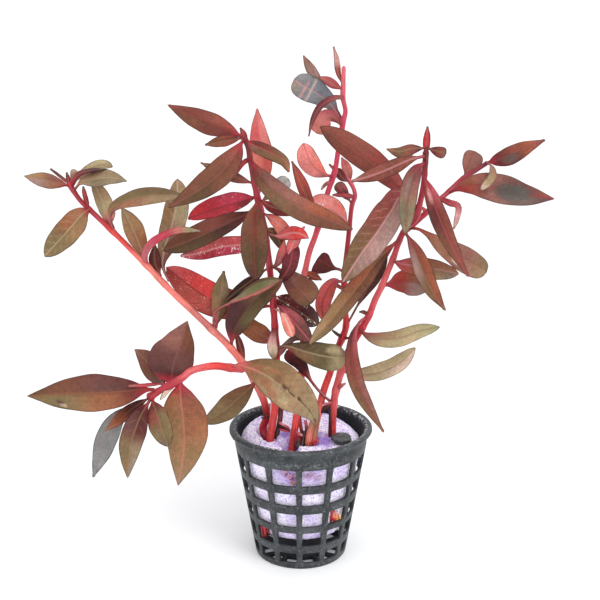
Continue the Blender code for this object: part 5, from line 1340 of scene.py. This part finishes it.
def stoneChip():
    rings, per = stone["rings"], stone["perRing"]
    points = []
    for i in range(rings + 1):
        lat = math.pi * (i + 0.02) / (rings + 0.04)
        for j in range(per):
            lon = 2 * math.pi * j / per
            d = Vector((math.sin(lat) * math.cos(lon), math.sin(lat) * math.sin(lon), -math.cos(lat)))
            grow = 1 + stone["lump"] * noise.noise(d * stone["lumpScale"] + Vector((4, 1, 2)))
            grow += stone["fineLump"] * noise.noise(d * stone["fineScale"])
            flat = [math.copysign(abs(v) ** stone["squareness"], v) for v in d.xy] + [d.z]
            spot = Vector([c + s * v * grow for c, s, v in zip(stone["centre"], stone["size"], flat)])
            points.append(spot * mm)
    made = buildPiece("stone_chip_rough", points, cappedFaces(rings + 1, per), "stone_grey")
    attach(made, "root")
    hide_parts("stone_chip")


stoneChip()

# scraps among the stems and roots behind the windows; some dark strips among them are painted shade and some pale
# ones painted highlights
scraps = [
    ([(269, 417.5, -6), (265.5, 418.6, -6), (262, 417.8, -6.2), (261.2, 416.2, -6.4), (263.5, 414.9, -6.4),
        (267, 415.8, -6.2), (270.5, 418.4, -6)], 0.55, 0.6, "blackBrown blackBrown blackBrown"),
    # a pale pink thread between the left and the inner stem: painted highlight
    ([(271.2, 399, -9), (270.8, 408, -9.5), (270.2, 416.5, -9.8)], 0.5, 0.4, "palePink palePink pink"),
    ([(280.5, 405, -4), (280.4, 416, -5), (278.6, 427, -6), (275.6, 439, -7.4)], 1.9, 1.9,
        "maroon darkRed maroon blackRed"),
    # pale pink middle of this strip: painted highlight
    ([(279, 422.5, -8), (284, 425, -9), (289.5, 428.5, -10)], 0.9, 0.9, "crimson palePink pink crimson"),
    ([(279, 425.5, -7), (284, 428, -8), (290, 431, -9)], 1.6, 1.4, "blackRed maroon blackRed"),
    # pink middle of this strip: painted highlight
    ([(279.5, 429, -8.4), (284, 430.6, -9), (290, 432, -10)], 0.8, 0.7, "crimson pink crimson"),
    ([(298.5, 412, -7.5), (300, 422, -8.5), (302, 434, -9.5)], 1.4, 1.2, "maroon crimson maroon"),
    ([(295, 431.5, -12.5), (299, 433.6, -13), (302.5, 435.8, -13.2)], 1.1, 1.0, "crimson pink palePink"),
    # two dark strips that fill the dark of the foam's hollow: painted shade
    ([(304, 432, -9.5), (302.5, 440, -11.5), (301, 449, -14)], 3.0, 2.6, "maroon blackRed blackRed"),
    ([(298, 437, -11.5), (298, 442, -13), (297.5, 449, -15)], 2.4, 2.0, "crimson maroon blackRed"),
    ([(314.5, 415, -10), (312, 424, -11), (309.5, 434, -12.5), (308, 446, -14.5)], 2.0, 2.6,
        "crimsonRed tan orange rust"),
    ([(317.5, 412, -9.8), (316.5, 424, -10.6), (315, 434, -12), (313.5, 445, -14)], 1.6, 2.3,
        "crimsonRed rust tan crimsonRed"),
    ([(305.5, 420, -9), (306.5, 431, -10.5), (306, 444, -12.5)], 1.1, 1.2, "pink maroon crimsonRed"),
    ([(314, 440, -14), (317.5, 441, -13.6), (320.5, 442.6, -13)], 0.7, 0.6, "crimson pink palePink"),
    ([(310, 443, -15), (315, 440, -14.6), (319, 437, -13.6)], 0.5, 0.5, "crimsonRed flame crimson"),
    # a dark strip down the left of the right stem: painted shade of its shaded side
    ([(330.6, 404, -6.6), (330.2, 420, -6.6), (329.9, 444, -6.6)], 1.2, 1.3,
        "maroon purpleDark maroon purpleDark"),
    ([(321, 412, -9), (326, 407.5, -9.5), (332, 401, -8.5)], 1.4, 1.3, "blackRed maroon crimson"),
    ([(322.5, 405.2, -10.5), (327, 403.6, -11), (331.5, 402.2, -10)], 0.8, 0.8, "palePink pink pink"),
]
scrapScars = [
    (0.2, 4.6, 0.5, "blackBrown"),
    (0.33, 4.2, 0.45, "maroon"),
    (0.46, 5.0, 0.5, "blackRed"),
    (0.56, 4.4, 0.4, "blackBrown"),
    (0.64, 5.2, 0.45, "darkRed"),
    (0.72, 4.5, 0.4, "palePink"),
    (0.8, 4.9, 0.5, "blackRed"),
    (0.9, 4.3, 0.4, "crimson"),
]
roots = [
    ([(330.5, 509.5, -14.5), (331.5, 516, -14.5), (330.5, 522, -14.2)], 1.2, 1.1, "crimson crimsonRed darkRed"),
    ([(333.6, 510, -13.9), (333, 516, -13.9), (334.4, 521.5, -13.6)], 1.2, 1.1,
        "crimsonRed palePink flame crimsonRed"),
    ([(336.6, 511, -13.2), (336.2, 516.5, -13.2), (337.4, 521.5, -12.9)], 1.2, 1.3,
        "cream orange amber orange"),
    ([(339.6, 514, -12.4), (339.6, 518, -12.3), (340.4, 521.5, -12.1)], 1.1, 1.1, "cream amber flame"),
    ([(330, 513, -14.9), (334, 516.5, -14.2), (339, 519.5, -12.9)], 0.6, 0.5, "darkRed amber crimson"),
    ([(262, 526, -10.4), (262.6, 531, -10.6), (263.6, 537, -10.5)], 1.5, 1.3, "crimson darkRed crimson"),
    ([(265, 526, -11.5), (265.5, 531, -11.8), (266.2, 537, -11.7)], 1.3, 1.1, "cherry crimson darkRed"),
    ([(268, 528, -12.5), (268.4, 531, -12.7), (269, 534.5, -12.6)], 0.8, 0.6, "maroon darkRed wine"),
]
tubePiece("stem_scraps_and_painted_light", [tubeParts(*spec, scars=scrapScars if "tan" in spec[3] else (), seed=i)
                          for i, spec in enumerate(scraps)])
tubePiece("root_ends", [tubeParts(*spec, seed=i) for i, spec in enumerate(roots)])
print("foam, stone and roots built")

# floor, lights and camera
studio = {
    "floor": (0.95, 0.955, 0.96), "floorGrain": 1.02, "world": (0.985, 0.992, 1.0), "worldStrength": 0.93,
    # each light's place, what it points at, its size in metres and its watts
    "key_light": ((0.4, -0.5, 0.85), (0, 0, 0.09), 0.5, 3.8),
    "fill_light": ((-0.7, -0.45, 0.5), (0, 0, 0.08), 0.6, 1.0),
    "front_light": ((0.05, -0.8, 0.3), (0, 0, 0.03), 0.5, 1.1),
}


def backdrop():
    profile = [(-1.4, 0.0), (0.45, 0.0), (0.6, 0.03), (0.72, 0.12), (0.78, 0.3), (0.78, 1.6)]
    points = [(x, y, z) for y, z in profile for x in (-1.8, 1.8)]
    faces = [(2 * i, 2 * i + 1, 2 * i + 3, 2 * i + 2) for i in range(len(profile) - 1)]
    mesh = bpy.data.meshes.new("studio_floor")
    mesh.from_pydata(points, [], faces)
    mesh.shade_smooth()
    made = bpy.data.objects.new("studio_floor", mesh)
    bpy.context.scene.collection.objects.link(made)
    material, shader, start = newMaterial("pale_paper", {"Roughness": 0.7, "Specular IOR Level": 0.2})
    grained = tuple(c * studio["floorGrain"] for c in studio["floor"])
    colour = place(start).grain(60.0, 3.0).between(studio["floor"], grained)
    plug(start.tree, shader.inputs["Base Color"], colour)
    mesh.materials.append(material)


def areaLight(name, spot, target, size, watts):
    lamp = bpy.data.lights.new(name, "AREA")
    lamp.shape = "DISK"
    lamp.size = size
    lamp.energy = watts
    made = bpy.data.objects.new(name, lamp)
    made.location = spot
    made.rotation_euler = (Vector(target) - Vector(spot)).to_track_quat("-Z", "Y").to_euler()
    bpy.context.scene.collection.objects.link(made)


backdrop()
for lampName in ("key_light", "fill_light", "front_light"):
    areaLight(lampName, *studio[lampName])
world = bpy.data.worlds.new("soft_daylight")
world.use_nodes = True
world.node_tree.nodes["Background"].inputs["Color"].default_value = (*studio["world"], 1.0)
world.node_tree.nodes["Background"].inputs["Strength"].default_value = studio["worldStrength"]
bpy.context.scene.world = world

camera = bpy.data.cameras.new("front_camera")
camera.sensor_width = 36.0
camera.lens = sheet["scale"] / 600 * camera.sensor_width     # the sheet is 600 points wide
camera.clip_start = 0.01
camera.clip_end = 10.0
eyeObject = bpy.data.objects.new("front_camera", camera)
eyeObject.location = (-0.00028, -sheet["away"] * mm, sheet["height"] * mm)
eyeObject.rotation_euler = (math.pi / 2 - sheet["tilt"], 0, 0)
bpy.context.scene.collection.objects.link(eyeObject)
bpy.context.scene.camera = eyeObject
bpy.context.scene.view_settings.view_transform = "Standard"
print("studio ready")
